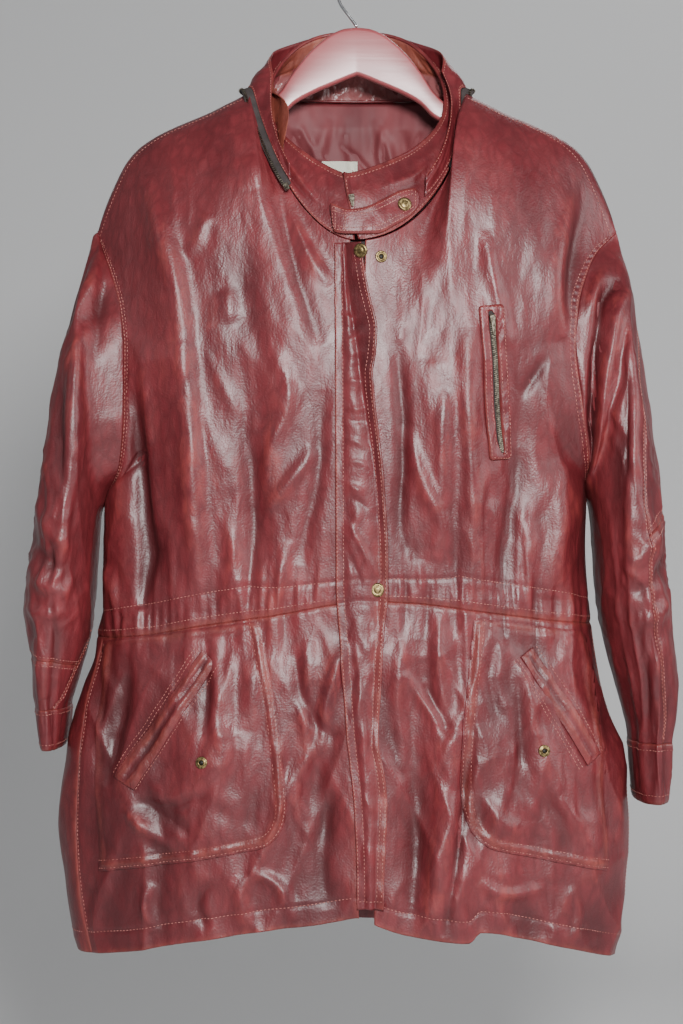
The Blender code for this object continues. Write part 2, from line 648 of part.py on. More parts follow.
def make_pockets():
    above_patch = LAYER_GAP + LEATHER + LAYER_GAP
    for side, name in ((RIGHT, "right"), (LEFT, "left")):
        patch = front_layer(f"pocket_{name}", side, True, LAYER_GAP, LEATHER, POCKETS[side])
        keep(patch, "leather")
        welt = front_layer(f"pocket_{name}_welt", side, True, above_patch, LEATHER, POCKET_WELTS[side])
        keep(welt, "leather")
        x, z, sink = POCKET_SNAPS[side]
        point, normal = spot(x, z)
        snap_socket(f"snap_pocket_{name}", point + normal * (above_patch + 0.0003 - sink), normal)
    welt = front_layer("chest_welt", LEFT, False, LAYER_GAP, 0.0016, CHEST_WELT)
    cut(welt, outline_cutter("chest_slot", CHEST_SLOT, 0), "DIFFERENCE")
    keep(welt, "leather")
    inside = 0.0003
    slot = [(x + inside * (1 if i in (0, 3) else -1), z + inside * (-1 if i in (0, 1) else 1))
            for i, (x, z) in enumerate(CHEST_SLOT)]
    keep(front_layer("chest_zip_tape", LEFT, False, LAYER_GAP, LEATHER, slot), "tape")


# ---------------------------------------------------------------- sleeves


def make_sleeves():
    """Each sleeve has an inner piece, and an outer one that is cut across at the elbow."""
    # side, name, the column of the front seam, the ring of the elbow seam, where the outer piece starts
    for side, name, seam, elbow, start in ((RIGHT, "right", 5, 8, 0.03), (LEFT, "left", 3, 5, 0.012)):
        point = lambda step, ring, side=side: sleeve_ring_point(side, step, ring)
        centre = (side * 0.29, 0)
        back_seam = ARMHOLE_STEPS + 3
        inner = range(seam - 1, back_seam + 2)
        outer = range(back_seam - 2 * ARMHOLE_STEPS - 1, seam + 2)
        last = len(SLEEVES[side]["outer_x"])
        rings = [-1, 0.012, *range(1, last + 1), last + 0.5]
        keep(wall(f"sleeve_{name}_inner", point, inner, rings, centre), "leather")
        rings = [-1, start, *range(1, elbow + 2)]
        keep(wall(f"sleeve_{name}_outer", point, outer, rings, centre), "leather")
        rings = [*range(elbow - 1, last + 1), last + 0.5]
        keep(wall(f"sleeve_{name}_lower", point, outer, rings, centre), "leather")
        around = [*range(-1, 2 * ARMHOLE_STEPS + 1)]
        rings = [last - 1, last, last + 0.5, last + 1, last + 1.5]
        centre = (side * 0.31, 0)
        keep(wall(f"cuff_{name}", point, around, rings, centre, 0, 0.0020, round_=True), "leather")


def sleeve_ring_point(side, step, ring):
    """sleeve_point between its rings too."""
    low = math.floor(ring)
    last = len(SLEEVES[side]["outer_x"])
    if ring < 0 or low == ring or low >= last:
        return sleeve_point(side, step, ring)
    return sleeve_point(side, step, low).lerp(sleeve_point(side, step, low + 1), ring - low)


# ---------------------------------------------------------------- collar


COLLAR_CENTRE = (0, NECK_Y)
COLLAR_ANGLES = [-178.5, *[18 * i for i in range(-9, 10)], 178.5]
THROAT_TAB = ((-0.0267, -0.264), (-0.0227, -0.292), (-0.0127, -0.2935), (0.0173, -0.294), (0.0373, -0.285),
              (0.0523, -0.275), (0.0610, -0.262), (0.0623, -0.254), (0.0560, -0.246), (0.0473, -0.248),
              (0.0273, -0.258), (0.0073, -0.268), (-0.0077, -0.270))
TAB_THICKNESS = 0.0022


def tab_surface(angle, height):
    return collar_point(angle - 360 if angle > 180 else angle, height)


def make_collar():
    angles = [-179.3, *COLLAR_ANGLES, 179.3]
    heights = [-0.05, 0, 0.25, 0.5, 0.75, 1, 1.05]
    keep(wall("collar_stand", collar_point, angles, heights, COLLAR_CENTRE, 0), "leather")
    inside = -LEATHER - LAYER_GAP
    keep(wall("collar_facing", collar_point, angles, heights, COLLAR_CENTRE, inside, 0.0011,
              trim=0.0008), "facing")
    cover = [18 * i for i in range(-9, 10)]
    keep(wall("collar_cover", cover_point, cover, [-0.05, 0, 0.33, 0.67, 1, 1.05], COLLAR_CENTRE), "leather")
    tape = [18 * i for i in range(-9, 9)]
    heights = [-0.02, 0.02, 0.11, 0.15]
    keep(wall("hood_zip_tape", collar_point, tape, heights, COLLAR_CENTRE, 0.0005, 0.0010), "tape")
    heights = [-0.05, 0.02, 0.2, 0.4, 0.6, 0.7]
    around = range(126, 215, 8)
    tab = wall("throat_tab", tab_surface, around, heights, COLLAR_CENTRE, 0.0006, TAB_THICKNESS)
    keep(cut(tab, outline_cutter("tab_outline", THROAT_TAB, 0), "INTERSECT"), "leather")
    point, normal = locate(tab_surface, 0.0453, -0.2650, (155, 0.35))
    snap_cap("snap_tab_cap", point + normal * (0.0006 + TAB_THICKNESS + 0.0004), normal)


# ---------------------------------------------------------------- snaps


def place(obj, name, point, normal):
    obj.name = name
    obj.data.name = name
    obj.rotation_mode = "QUATERNION"
    obj.rotation_quaternion = normal.to_track_quat("Z", "Y")
    obj.location = point
    return keep(obj, "brass")


def snap_cap(name, point, normal, radius=0.0075, height=0.0020):
    bpy.ops.mesh.primitive_cone_add(vertices=20, radius1=radius, radius2=radius * 0.72, depth=height)
    obj = bpy.context.active_object
    for vertex in obj.data.vertices:
        vertex.co.z += height / 2
    return place(obj, name, point, normal)


def snap_socket(name, point, normal, outer=0.0062, hole=0.0022):
    """A ring with a raised lip, turned about its axis."""
    profile = ((hole, 0), (outer, 0), (outer, 0.0009), (0.75 * outer, 0.0018), (1.3 * hole, 0.0018),
               (hole, 0.0010))
    bm = bmesh.new()
    ring = [bm.verts.new((x, 0, z)) for x, z in profile]
    edges = [bm.edges.new((ring[i], ring[(i + 1) % len(ring)])) for i in range(len(ring))]
    bmesh.ops.spin(bm, geom=ring + edges, axis=(0, 0, 1), cent=(0, 0, 0), steps=18, angle=2 * math.pi,
                   use_merge=True)
    bmesh.ops.recalc_face_normals(bm, faces=bm.faces)
    mesh = bpy.data.meshes.new(name)
    bm.to_mesh(mesh)
    bm.free()
    obj = bpy.data.objects.new(name, mesh)
    bpy.context.scene.collection.objects.link(obj)
    return place(obj, name, point, normal)


def make_front_snaps():
    on_flap = FLAP_LIFT + LEATHER + 0.0004
    for name, x, z in (("snap_waist_cap", 0.0195, -0.6500), ("snap_top_cap", 0.0010, -0.3120)):
        point, normal = locate(flap_point, x, z, (0.7, (FLAP_TOP - z) / (FLAP_TOP - FLAP_BOTTOM)))
        snap_cap(name, point + normal * on_flap, normal)
    point, normal = spot(0.0235, -0.3160)
    snap_socket("snap_top_socket", point + normal * 0.0004, normal)


# ---------------------------------------------------------------- hanger


def make_hanger():
    xs = HANGER["x"]
    half = HANGER_THICKNESS / 2
    stations = [-x for x in reversed(xs[1:])] + list(xs)
    points = []
    for x in stations:
        top, bottom = (HANGER[name][xs.index(abs(x))] for name in ("top", "bottom"))
        soft = min(0.0045, (top - bottom) / 3)
        section = ((-half + soft, top), (half - soft, top), (half, top - soft), (half, bottom + soft),
                   (half - soft, bottom), (-half + soft, bottom), (-half, bottom + soft), (-half, top - soft))
        points += [(x, y, z) for y, z in section]
    faces = [tuple(range(8)), tuple(reversed(range(8 * len(stations) - 8, 8 * len(stations))))]
    for i in range(len(stations) - 1):
        for j in range(8):
            k = (j + 1) % 8
            faces.append((8 * i + j, 8 * i + k, 8 * i + 8 + k, 8 * i + 8 + j))
    wood = mesh_object("hanger_wood", points, faces)
    face_outwards(wood)
    keep(wood, "wood")


def make_hook():
    """The wire leaves the wood, leans over to one side, and arcs round to a free end."""
    centre_z = HOOK_WIRE - HOOK_RADIUS
    path = [(0, HANGER["top"][0] + 0.0011), (-0.0035, -0.0600), (-0.0095, -0.0520), (-0.0155, -0.0440),
            (-0.0198, -0.0350)]
    for degrees in range(192, -21, -12):
        angle = math.radians(degrees)
        path.append((HOOK_RADIUS * math.cos(angle), centre_z + HOOK_RADIUS * math.sin(angle)))
    curve = bpy.data.curves.new("hanger_hook", "CURVE")
    curve.dimensions = "3D"
    curve.bevel_depth = HOOK_WIRE
    curve.bevel_resolution = 2
    curve.use_fill_caps = True
    spline = curve.splines.new("POLY")
    spline.points.add(len(path) - 1)
    for point, (x, z) in zip(spline.points, path):
        point.co = (x, 0, z, 1)
    obj = bpy.data.objects.new("hanger_hook", curve)
    bpy.context.scene.collection.objects.link(obj)
    keep(obj, "chrome")


clear_scene()
COAT = bpy.data.collections.new("leather_jacket_on_hanger")
CUTTERS = bpy.data.collections.new("cutters")
for made in (COAT, CUTTERS):
    bpy.context.scene.collection.children.link(made)
CARRIER = bpy.data.objects.new("carrier", None)
COAT.objects.link(CARRIER)
make_fronts()
make_back()
make_lining()
make_closing()
make_pockets()
make_sleeves()
make_collar()
make_front_snaps()
make_hanger()
make_hook()
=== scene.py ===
"""The looks of a worn burgundy leather coat that hangs on a wooden hanger.

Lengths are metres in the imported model's frame: the origin is where a rail touches the inside of the hook,
+Z is up, the coat's front faces -Y, and +X is the wearer's left.
"""

import math

import bmesh
import bpy
import numpy as np
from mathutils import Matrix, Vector


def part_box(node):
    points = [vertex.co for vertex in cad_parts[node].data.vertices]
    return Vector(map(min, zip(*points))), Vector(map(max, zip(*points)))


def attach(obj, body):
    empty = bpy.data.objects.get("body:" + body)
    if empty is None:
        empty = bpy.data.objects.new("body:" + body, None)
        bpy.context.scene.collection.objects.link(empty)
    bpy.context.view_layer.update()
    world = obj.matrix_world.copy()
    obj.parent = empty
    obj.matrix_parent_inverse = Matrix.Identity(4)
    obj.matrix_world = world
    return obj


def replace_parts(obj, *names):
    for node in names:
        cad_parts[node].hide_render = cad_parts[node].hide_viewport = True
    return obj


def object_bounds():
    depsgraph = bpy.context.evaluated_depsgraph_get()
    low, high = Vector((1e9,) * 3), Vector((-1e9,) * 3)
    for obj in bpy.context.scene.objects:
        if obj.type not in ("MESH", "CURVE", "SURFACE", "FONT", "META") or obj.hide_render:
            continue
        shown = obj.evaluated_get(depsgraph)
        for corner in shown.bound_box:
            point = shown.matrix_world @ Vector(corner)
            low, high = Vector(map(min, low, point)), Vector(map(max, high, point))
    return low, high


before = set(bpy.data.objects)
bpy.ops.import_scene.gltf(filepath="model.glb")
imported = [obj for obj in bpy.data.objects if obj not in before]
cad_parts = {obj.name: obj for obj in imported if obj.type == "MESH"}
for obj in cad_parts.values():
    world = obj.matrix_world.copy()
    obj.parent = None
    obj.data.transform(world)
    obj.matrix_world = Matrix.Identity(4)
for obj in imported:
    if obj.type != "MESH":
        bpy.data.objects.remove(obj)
cad_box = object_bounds()

# ================================================================ Studio
# A level camera in front of the coat, a pale floor that sweeps up behind it, one soft lamp close to the
# camera, which gives the folds their long highlights, and weaker soft lamps all round.
CAMERA_PLACE = (-0.0162, -2.09, -0.572)
CAMERA_LENS = 70.3
FLOOR_DROP = 0.30
FLOOR_FRONT, FLOOR_BACK, FLOOR_HALF_WIDTH = -3.5, 1.2, 4.0
SWEEP_RADIUS, WALL_HEIGHT = 0.8, 3.6
STUDIO_GREY = (0.64, 0.64, 0.64, 1)
WORLD_COLOR, WORLD_STRENGTH = (0.86, 0.88, 0.92, 1), 0.19

camera = bpy.data.objects.new("camera", bpy.data.cameras.new("camera"))
camera.location = CAMERA_PLACE
camera.rotation_euler = (math.radians(90), 0, 0)
camera.data.lens = CAMERA_LENS
camera.data.sensor_width = 36
camera.data.clip_end = 30
bpy.context.scene.collection.objects.link(camera)
bpy.context.scene.camera = camera

floor_z = cad_box[0].z - FLOOR_DROP
sweep_profile = [(FLOOR_FRONT, floor_z)]
for angle in np.radians(np.linspace(0, 90, 13)):
    sweep_profile.append((FLOOR_BACK + SWEEP_RADIUS * math.sin(angle),
                          floor_z + SWEEP_RADIUS * (1 - math.cos(angle))))
sweep_profile.append((FLOOR_BACK + SWEEP_RADIUS, floor_z + WALL_HEIGHT))
sweep_points = [(x, y, z) for y, z in sweep_profile for x in (-FLOOR_HALF_WIDTH, FLOOR_HALF_WIDTH)]
sweep_faces = [(2 * i, 2 * i + 1, 2 * i + 3, 2 * i + 2) for i in range(len(sweep_profile) - 1)]
sweep_mesh = bpy.data.meshes.new("studio_sweep")
sweep_mesh.from_pydata(sweep_points, [], sweep_faces)
for face in sweep_mesh.polygons:
    face.use_smooth = True
studio_sweep = bpy.data.objects.new("studio_sweep", sweep_mesh)
bpy.context.scene.collection.objects.link(studio_sweep)
sweep_paint = bpy.data.materials.new("pale_grey_paint")
sweep_paint.use_nodes = True
paint_nodes, paint_links = sweep_paint.node_tree.nodes, sweep_paint.node_tree.links
paint_shader = paint_nodes["Principled BSDF"]
paint_shader.inputs["Base Color"].default_value = STUDIO_GREY
paint_shader.inputs["Roughness"].default_value = 0.9
# The sweep is clear from behind, so that the coat's back can be looked at.
clear, side_switch = paint_nodes.new("ShaderNodeBsdfTransparent"), paint_nodes.new("ShaderNodeMixShader")
facing_away = paint_nodes.new("ShaderNodeNewGeometry").outputs["Backfacing"]
paint_links.new(facing_away, side_switch.inputs["Fac"])
paint_links.new(paint_shader.outputs["BSDF"], side_switch.inputs[1])
paint_links.new(clear.outputs["BSDF"], side_switch.inputs[2])
paint_links.new(side_switch.outputs["Shader"], paint_nodes["Material Output"].inputs["Surface"])
sweep_mesh.materials.append(sweep_paint)

world = bpy.data.worlds.new("studio_world")
world.use_nodes = True
background = world.node_tree.nodes["Background"]
background.inputs["Color"].default_value = WORLD_COLOR
background.inputs["Strength"].default_value = WORLD_STRENGTH
bpy.context.scene.world = world


def soft_lamp(name, place, aim, size, watts):
    data = bpy.data.lights.new(name, "AREA")
    data.shape = "DISK"
    data.size = size
    data.energy = watts
    lamp = bpy.data.objects.new(name, data)
    lamp.location = place
    lamp.rotation_euler = (Vector(aim) - Vector(place)).to_track_quat("-Z", "Y").to_euler()
    bpy.context.scene.collection.objects.link(lamp)


soft_lamp("lamp_by_camera", (0.24, -2.04, -0.04), (0, 0, -0.55), 0.40, 62)
soft_lamp("lamp_left", (-2.2, -1.0, 0.5), (0, 0, -0.5), 1.6, 6)
soft_lamp("lamp_right", (2.3, -1.0, 0.2), (0, 0, -0.5), 1.6, 38)
soft_lamp("lamp_behind", (0.6, 2.0, 0.9), (0, 0, -0.4), 1.4, 16)


# ================================================================ Hanger wood
# A flat wooden coat hanger, 43 cm across and 11 mm thick, with a domed top and a notch under it. It is
# sawn from one board, rounded on its edges, stained red-brown and lacquered to a high gloss.
HANGER_THICKNESS = 0.011
HANGER_EDGE_RADIUS = 0.0042
HANGER_END_ROUNDING = 0.004
HANGER = {
    "x": (0, 0.012, 0.025, 0.037, 0.05, 0.065, 0.080, 0.095, 0.112, 0.130, 0.150, 0.175, 0.200, 0.213),
    "top": (-0.066, -0.0672, -0.0720, -0.0805, -0.0925, -0.1110, -0.1330, -0.1462, -0.1505, -0.1546,
            -0.1609, -0.1704, -0.1809, -0.1904),
    "bottom": (-0.116, -0.1205, -0.1260, -0.1310, -0.1370, -0.1455, -0.160, -0.1680, -0.1760, -0.1840,
               -0.1920, -0.2010, -0.2080, -0.2060),
}


def read_table(table, key, column, at):
    """Reads a column at places between its rows, on a smooth curve that doesn't overshoot them."""
    xs, ys = np.array(table[key], float), np.array(table[column], float)
    at = np.clip(at, xs[0], xs[-1])
    slopes = np.diff(ys) / np.diff(xs)
    before, after = slopes[:-1], slopes[1:]
    same_way = before * after > 0
    between = np.where(same_way, 2 * before * after / np.where(same_way, before + after, 1), 0)
    tangents = np.concatenate([slopes[:1], between, slopes[-1:]])
    row = np.clip(np.searchsorted(xs, at) - 1, 0, len(xs) - 2)
    width = xs[row + 1] - xs[row]
    s = (at - xs[row]) / width
    return (
        (2 * s**3 - 3 * s**2 + 1) * ys[row]
        + (s**3 - 2 * s**2 + s) * width * tangents[row]
        + (3 * s**2 - 2 * s**3) * ys[row + 1]
        + (s**3 - s**2) * width * tangents[row + 1]
    )


def tube_faces(rings, count, start=0, loop=False):
    """The faces of rings of points: a tube with closed ends, or a loop whose last ring joins its first."""
    faces = []
    if not loop:
        faces = [tuple(range(start + count * ring, start + count * (ring + 1))) for ring in (0, rings - 1)]
    for ring in range(rings if loop else rings - 1):
        here, there = start + count * ring, start + count * ((ring + 1) % rings)
        for j in range(count):
            k = (j + 1) % count
            faces.append((here + j, here + k, there + k, there + j))
    return faces


def place_piece(name, mesh, smooth):
    """Puts a finished mesh in the scene, as a piece that rides on the coat's body."""
    for polygon in mesh.polygons:
        polygon.use_smooth = smooth
    piece = bpy.data.objects.new(name, mesh)
    bpy.context.scene.collection.objects.link(piece)
    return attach(piece, "root")


def make_piece(name, points, faces, material, slot, marks=None, smooth=True):
    """A piece from points and faces. marks are named numbers, one for each point."""
    mesh = bpy.data.meshes.new(name)
    mesh.from_pydata(np.asarray(points, float).tolist(), [], faces)
    mesh.update()
    for mark, values in (marks or {}).items():
        attribute = mesh.attributes.new(mark, "FLOAT", "POINT")
        attribute.data.foreach_set("value", np.asarray(values, np.float32))
    shape = bmesh.new()
    shape.from_mesh(mesh)
    bmesh.ops.recalc_face_normals(shape, faces=shape.faces)
    shape.to_mesh(mesh)
    shape.free()
    mesh.materials.append(material)
    return place_piece(name, mesh, smooth)


def new_material(name, roughness, metallic=0.0):
    """A material, its node tree and its Principled shader."""
    material = bpy.data.materials.new(name)
    material.use_nodes = True
    shader = material.node_tree.nodes["Principled BSDF"]
    shader.inputs["Roughness"].default_value = roughness
    shader.inputs["Metallic"].default_value = metallic
    return material, material.node_tree, shader


def feed(tree, socket, value):
    """Gives a socket a link from another one, or a plain value."""
    if isinstance(value, bpy.types.NodeSocket):
        tree.links.new(value, socket)
    else:
        socket.default_value = value


def add_node(tree, kind, settings=None, **values):
    """Adds a node with its settings, and with values or links for its inputs by name or by _number."""
    node = tree.nodes.new(kind)
    for key, value in (settings or {}).items():
        setattr(node, key, value)
    for key, value in values.items():
        feed(tree, node.inputs[int(key[1:]) if key[0] == "_" else key.replace("_", " ")], value)
    return node


def ramp(tree, factor, *stops):
    """A colour ramp through (place, colour) stops."""
    node = add_node(tree, "ShaderNodeValToRGB", Fac=factor)
    elements = node.color_ramp.elements
    while len(elements) < len(stops):
        elements.new(0.5)
    for element, (place, color) in zip(elements, stops):
        element.position = place
        element.color = (*color, 1)
    return node.outputs["Color"]


def blend_colors(tree, factor, low, high):
    """The colour from low, where the factor is 0, to high, where it is 1."""
    node = add_node(tree, "ShaderNodeMix", {"data_type": "RGBA"}, _0=factor, _6=low, _7=(*high, 1))
    return node.outputs[2]


def rescale(tree, value, before=(0.0, 1.0), after=(0.0, 1.0)):
    """A value turned from one range into another, and kept inside it."""
    node = add_node(tree, "ShaderNodeMapRange", Value=value, From_Min=before[0], From_Max=before[1],
                    To_Min=after[0], To_Max=after[1])
    return node.outputs["Result"]


def stretched(tree, scale):
    """Object coordinates, multiplied along X, Y and Z."""
    place = add_node(tree, "ShaderNodeTexCoord").outputs["Object"]
    return add_node(tree, "ShaderNodeMapping", Vector=place, Scale=scale).outputs["Vector"]


def noise(tree, scale, detail=2.0, distortion=0.0):
    """Noise that is finer or coarser along X, Y and Z."""
    node = add_node(tree, "ShaderNodeTexNoise", Vector=stretched(tree, scale), Scale=1.0, Detail=detail,
                    Distortion=distortion)
    return node.outputs["Fac"]


def finish_surface(tree, shader, color, rough=None, bump=None):
    """Feeds a shader its colour, its roughness, and a bump given as (height, strength, distance)."""
    tree.links.new(color, shader.inputs["Base Color"])
    if rough:
        tree.links.new(rough, shader.inputs["Roughness"])
    if bump:
        height, strength, distance = bump
        node = add_node(tree, "ShaderNodeBump", Strength=strength, Distance=distance, Height=height)
        tree.links.new(node.outputs["Normal"], shader.inputs["Normal"])


def red_brown_lacquer():
    material, tree, shader = new_material("red_brown_lacquer", 0.24)
    grain, clouds = noise(tree, (7, 60, 90), 5.0, 0.6), noise(tree, (14, 14, 14), 3.0)
    color = ramp(tree, grain, (0.30, (0.210, 0.034, 0.040)), (0.70, (0.340, 0.080, 0.088)))
    color = blend_colors(tree, clouds, color, (0.360, 0.085, 0.090))
    finish_surface(tree, shader, color, rescale(tree, clouds, after=(0.24, 0.40)), (grain, 0.30, 0.0006))
    shader.inputs["Coat Weight"].default_value = 0.45
    shader.inputs["Coat Roughness"].default_value = 0.28
    return material


hanger_end = HANGER["x"][-1]
hanger_x = np.concatenate([-np.linspace(hanger_end, 0, 88)[:-1], np.linspace(0, hanger_end, 88)])
hanger_top = read_table(HANGER, "x", "top", abs(hanger_x))
hanger_bottom = read_table(HANGER, "x", "bottom", abs(hanger_x))
corner = np.radians(np.arange(0, 91, 15))
half_board = HANGER_THICKNESS / 2 - HANGER_EDGE_RADIUS
corner_y = half_board + HANGER_EDGE_RADIUS * np.sin(corner)
corner_z = HANGER_EDGE_RADIUS * (np.cos(corner) - 1)
section_y = np.concatenate([corner_y, corner_y[::-1], -corner_y, -corner_y[::-1]])
hanger_points = []
for x, top, bottom in zip(hanger_x, hanger_top, hanger_bottom):
    # The ends are rounded in the board's thickness too.
    end = min(1.0, (hanger_end - abs(x)) / HANGER_END_ROUNDING)
    pinch = 0.55 + 0.45 * math.sqrt(max(0.0, 1 - (1 - end) ** 2))
    upper, lower = top + corner_z, bottom - corner_z
    section_z = np.concatenate([upper, lower[::-1], lower, upper[::-1]])
    hanger_points.append(np.stack([np.full_like(section_z, x), section_y * pinch, section_z], axis=1))
hanger_wood = make_piece("hanger_board", np.concatenate(hanger_points),
                         tube_faces(len(hanger_x), len(section_y)), red_brown_lacquer(), "red_wood")
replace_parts(hanger_wood, "hanger_wood")


# ================================================================ Hanger hook
# A 3.5 mm chromed steel wire. It leaves the wood through a small collar, leans to one side, and arcs
# round over the rail to a rounded free end.
HOOK_WIRE, HOOK_RADIUS = 0.00175, 0.0225
HOOK_STEM = ((0.0, -0.0649), (-0.0035, -0.0600), (-0.0095, -0.0520), (-0.0155, -0.0440), (-0.0198, -0.0350))


def bright_chrome():
    material, tree, shader = new_material("bright_chrome", 0.12, 1.0)
    smears = noise(tree, (160, 160, 60), 4.0)
    color = ramp(tree, smears, (0.35, (0.72, 0.72, 0.73)), (0.75, (0.86, 0.86, 0.87)))
    finish_surface(tree, shader, color, rescale(tree, smears, after=(0.08, 0.26)))
    return material


def sweep_round(path, radii, sides):
    """A closed round bar along a path of points: (points, faces)."""
    path = np.asarray(path, float)
    along = np.gradient(path, axis=0)
    along /= np.linalg.norm(along, axis=1, keepdims=True)
    across = np.cross(along, (0.0, 1.0, 0.0))
    across /= np.linalg.norm(across, axis=1, keepdims=True)
    beside = np.cross(along, across)
    turn = np.linspace(0, 2 * math.pi, sides, endpoint=False)[None, :, None]
    rings = path[:, None] + np.asarray(radii)[:, None, None] * (
        np.cos(turn) * across[:, None] + np.sin(turn) * beside[:, None]
    )
    return rings.reshape(-1, 3), tube_faces(len(path), sides)


def lengths_along(line):
    """How far along a line of points each one is."""
    return np.concatenate([[0], np.cumsum(np.linalg.norm(np.diff(line, axis=0), axis=1))])


def read_line(line, lengths, at):
    """Points of a line at the given lengths along it."""
    return np.stack([np.interp(at, lengths, column) for column in line.T], axis=1)


def smooth_path(points, pitch):
    """Points at an even pitch along a smooth curve through the given ones."""
    points = np.asarray(points, float)
    padded = np.vstack([2 * points[0] - points[1], points, 2 * points[-1] - points[-2]])
    fine = []
    for before, start, end, after in zip(padded, padded[1:], padded[2:], padded[3:]):
        s = np.linspace(0, 1, 24, endpoint=False)[:, None]
        fine.append(0.5 * (2 * start + (end - before) * s + (2 * before - 5 * start + 4 * end - after) * s**2
                           + (3 * start - before - 3 * end + after) * s**3))
    fine = np.vstack([*fine, points[-1:]])
    lengths = lengths_along(fine)
    count = max(2, round(lengths[-1] / pitch) + 1)
    return read_line(fine, lengths, np.linspace(0, lengths[-1], count))


arc = np.radians(np.arange(192, -22, -6))
arc_points = HOOK_RADIUS * np.stack([np.cos(arc), np.sin(arc)], axis=1) + (0, HOOK_WIRE - HOOK_RADIUS)
hook_line = smooth_path([*HOOK_STEM, *arc_points], 0.0012)
hook_line = np.stack([hook_line[:, 0], np.zeros(len(hook_line)), hook_line[:, 1]], axis=1)
hook_radii = np.full(len(hook_line), HOOK_WIRE)
# The free end is rounded over its last three rings.
hook_radii[-3:] = HOOK_WIRE * np.array([0.94, 0.75, 0.40])
hanger_hook = make_piece("hook_wire", *sweep_round(hook_line, hook_radii, 16), bright_chrome(), "chrome_wire")
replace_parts(hanger_hook, "hanger_hook")


# ================================================================ Back
# Two burgundy cowhide panels about 1.3 mm thick, sewn together at the waist and over the shoulders to the
# fronts. The whole coat hangs on one surface, read from these sizes; every panel is a part of it.
RIGHT, LEFT = -1, 1
FRONT, BACK = -1, 1
SIDE_NAMES = {RIGHT: "right", LEFT: "left"}

NECK_HALF_WIDTH = 0.112
TIP_X = 0.271
SHOULDER = {
    "x": (0.112, 0.150, 0.200, 0.225, 0.240, 0.255, 0.265, 0.271),
    "z": (-0.136, -0.155, -0.175, -0.190, -0.206, -0.235, -0.260, -0.280),
}
NECK_Y, NECK_HALF_DEPTH = -0.012, 0.077
FRONT_NECK_DROP, BACK_NECK_RISE = 0.164, 0.004
NECK_DROP_POWER = {RIGHT: 1.7, LEFT: 1.0}

# Sections of the body: share 0 is the shoulder tip, 1 the waist seam and 2 the hem. Down to the underarm,
# x is where the armhole seam runs and turn how far round the section that is; below it x is the side.
UNDERARM = 0.675
SECTIONS = {
    "share": (0, 0.06, 0.11, 0.2, 0.3, 0.45, 0.58, 0.675, 0.8, 1, 1.2, 1.4, 1.6, 1.8, 2),
    "right_x": (0.271, 0.262, 0.2536, 0.2425, 0.2380, 0.2385, 0.2440, 0.262, 0.2645, 0.2685,
                0.290, 0.3035, 0.309, 0.3055, 0.2916),
    "left_x": (0.271, 0.2475, 0.2365, 0.225, 0.2215, 0.229, 0.2375, 0.240, 0.2385, 0.2445,
               0.2555, 0.275, 0.284, 0.280, 0.2696),
    "right_turn": (90, 76, 68, 62, 60, 61, 68, 90, 90, 90, 90, 90, 90, 90, 90),
    "left_turn": (90, 68, 61, 56, 55, 57, 68, 90, 90, 90, 90, 90, 90, 90, 90),
    "front": (0.084, 0.086, 0.088, 0.091, 0.093, 0.094, 0.093, 0.092, 0.090, 0.087,
              0.092, 0.096, 0.099, 0.101, 0.102),
    "back": (0.066, 0.068, 0.070, 0.074, 0.077, 0.078, 0.077, 0.075, 0.071, 0.067,
             0.075, 0.083, 0.088, 0.091, 0.093),
}
FLATNESS = 0.25
ROUNDING = {FRONT: 0.120, BACK: 0.090}
EDGES = {
    "across": (0, 0.1, 0.2, 0.27, 0.30, 0.35, 0.4, 0.6, 0.8, 1),
    "right_waist": (-0.661, -0.668, -0.676, -0.6800, -0.6817, -0.6844, -0.687, -0.6975, -0.701, -0.7016),
    "left_waist": (-0.661, -0.6625, -0.6655, -0.6690, -0.6705, -0.6729, -0.675, -0.682, -0.686, -0.687),
    "right_hem": (-0.976, -0.984, -0.989, -0.9940, -0.9963, -0.9998, -1.003, -1.017, -1.023, -1.0245),
    "left_hem": (-0.976, -0.992, -0.999, -1.0020, -0.9920, -0.9935, -0.998, -1.014, -1.027, -1.033),
}
BACK_WAIST, BACK_HEM = -0.694, -1.014

# The largest folds, in millimetres: x at the top and the bottom, the heights they run between, half width,
# and rise.
FRONT_FOLDS = (
    (-205, -163, -200, -655, 20, 8),
    (-222, -212, -450, -690, 18, -8),
    (-100, -105, -420, -640, 24, -6),
    (-60, -75, -300, -560, 26, 5),
    (112, 118, -330, -650, 22, 6),
    (72, 82, -420, -620, 20, 5),
    (162, 152, -400, -660, 22, -7),
    (200, 197, -200, -400, 22, 7),
    (205, 198, -520, -660, 18, 6),
    (-215, -250, -700, -860, 22, -7),
    (-135, -150, -720, -980, 30, 6),
    (-40, -50, -740, -960, 22, -6),
    (105, 86, -850, -1060, 22, 10),
    (60, 56, -700, -960, 20, -6),
    (170, 190, -760, -1000, 30, -6),
)
BACK_FOLDS = (
    (-180, -160, -260, -660, 26, 8),
    (-70, -60, -330, -680, 26, -7),
    (60, 50, -380, -690, 24, 6),
    (180, 165, -260, -640, 26, 8),
    (120, 125, -420, -690, 20, -6),
    (-200, -230, -720, -1040, 28, -8),
    (-90, -100, -720, -1050, 30, 9),
    (20, 30, -740, -1060, 28, -7),
    (130, 140, -720, -1040, 30, 9),
    (220, 240, -760, -1040, 24, -6),
)


def limited(value):
    """A value kept from 0 to 1."""
    return np.clip(value, 0, 1)


def hump(distance, width):
    """1 where the distance is 0, falling smoothly to nearly nothing at twice the width."""
    return np.exp(-((distance / width) ** 2))


def spread(*values):
    """Numbers and arrays brought to one shape."""
    return np.broadcast_arrays(*(np.asarray(value, float) for value in values))


def crossed(first, second):
    """Two tables that pair each of the first values with each of the second."""
    return np.meshgrid(first, second, indexing="ij")


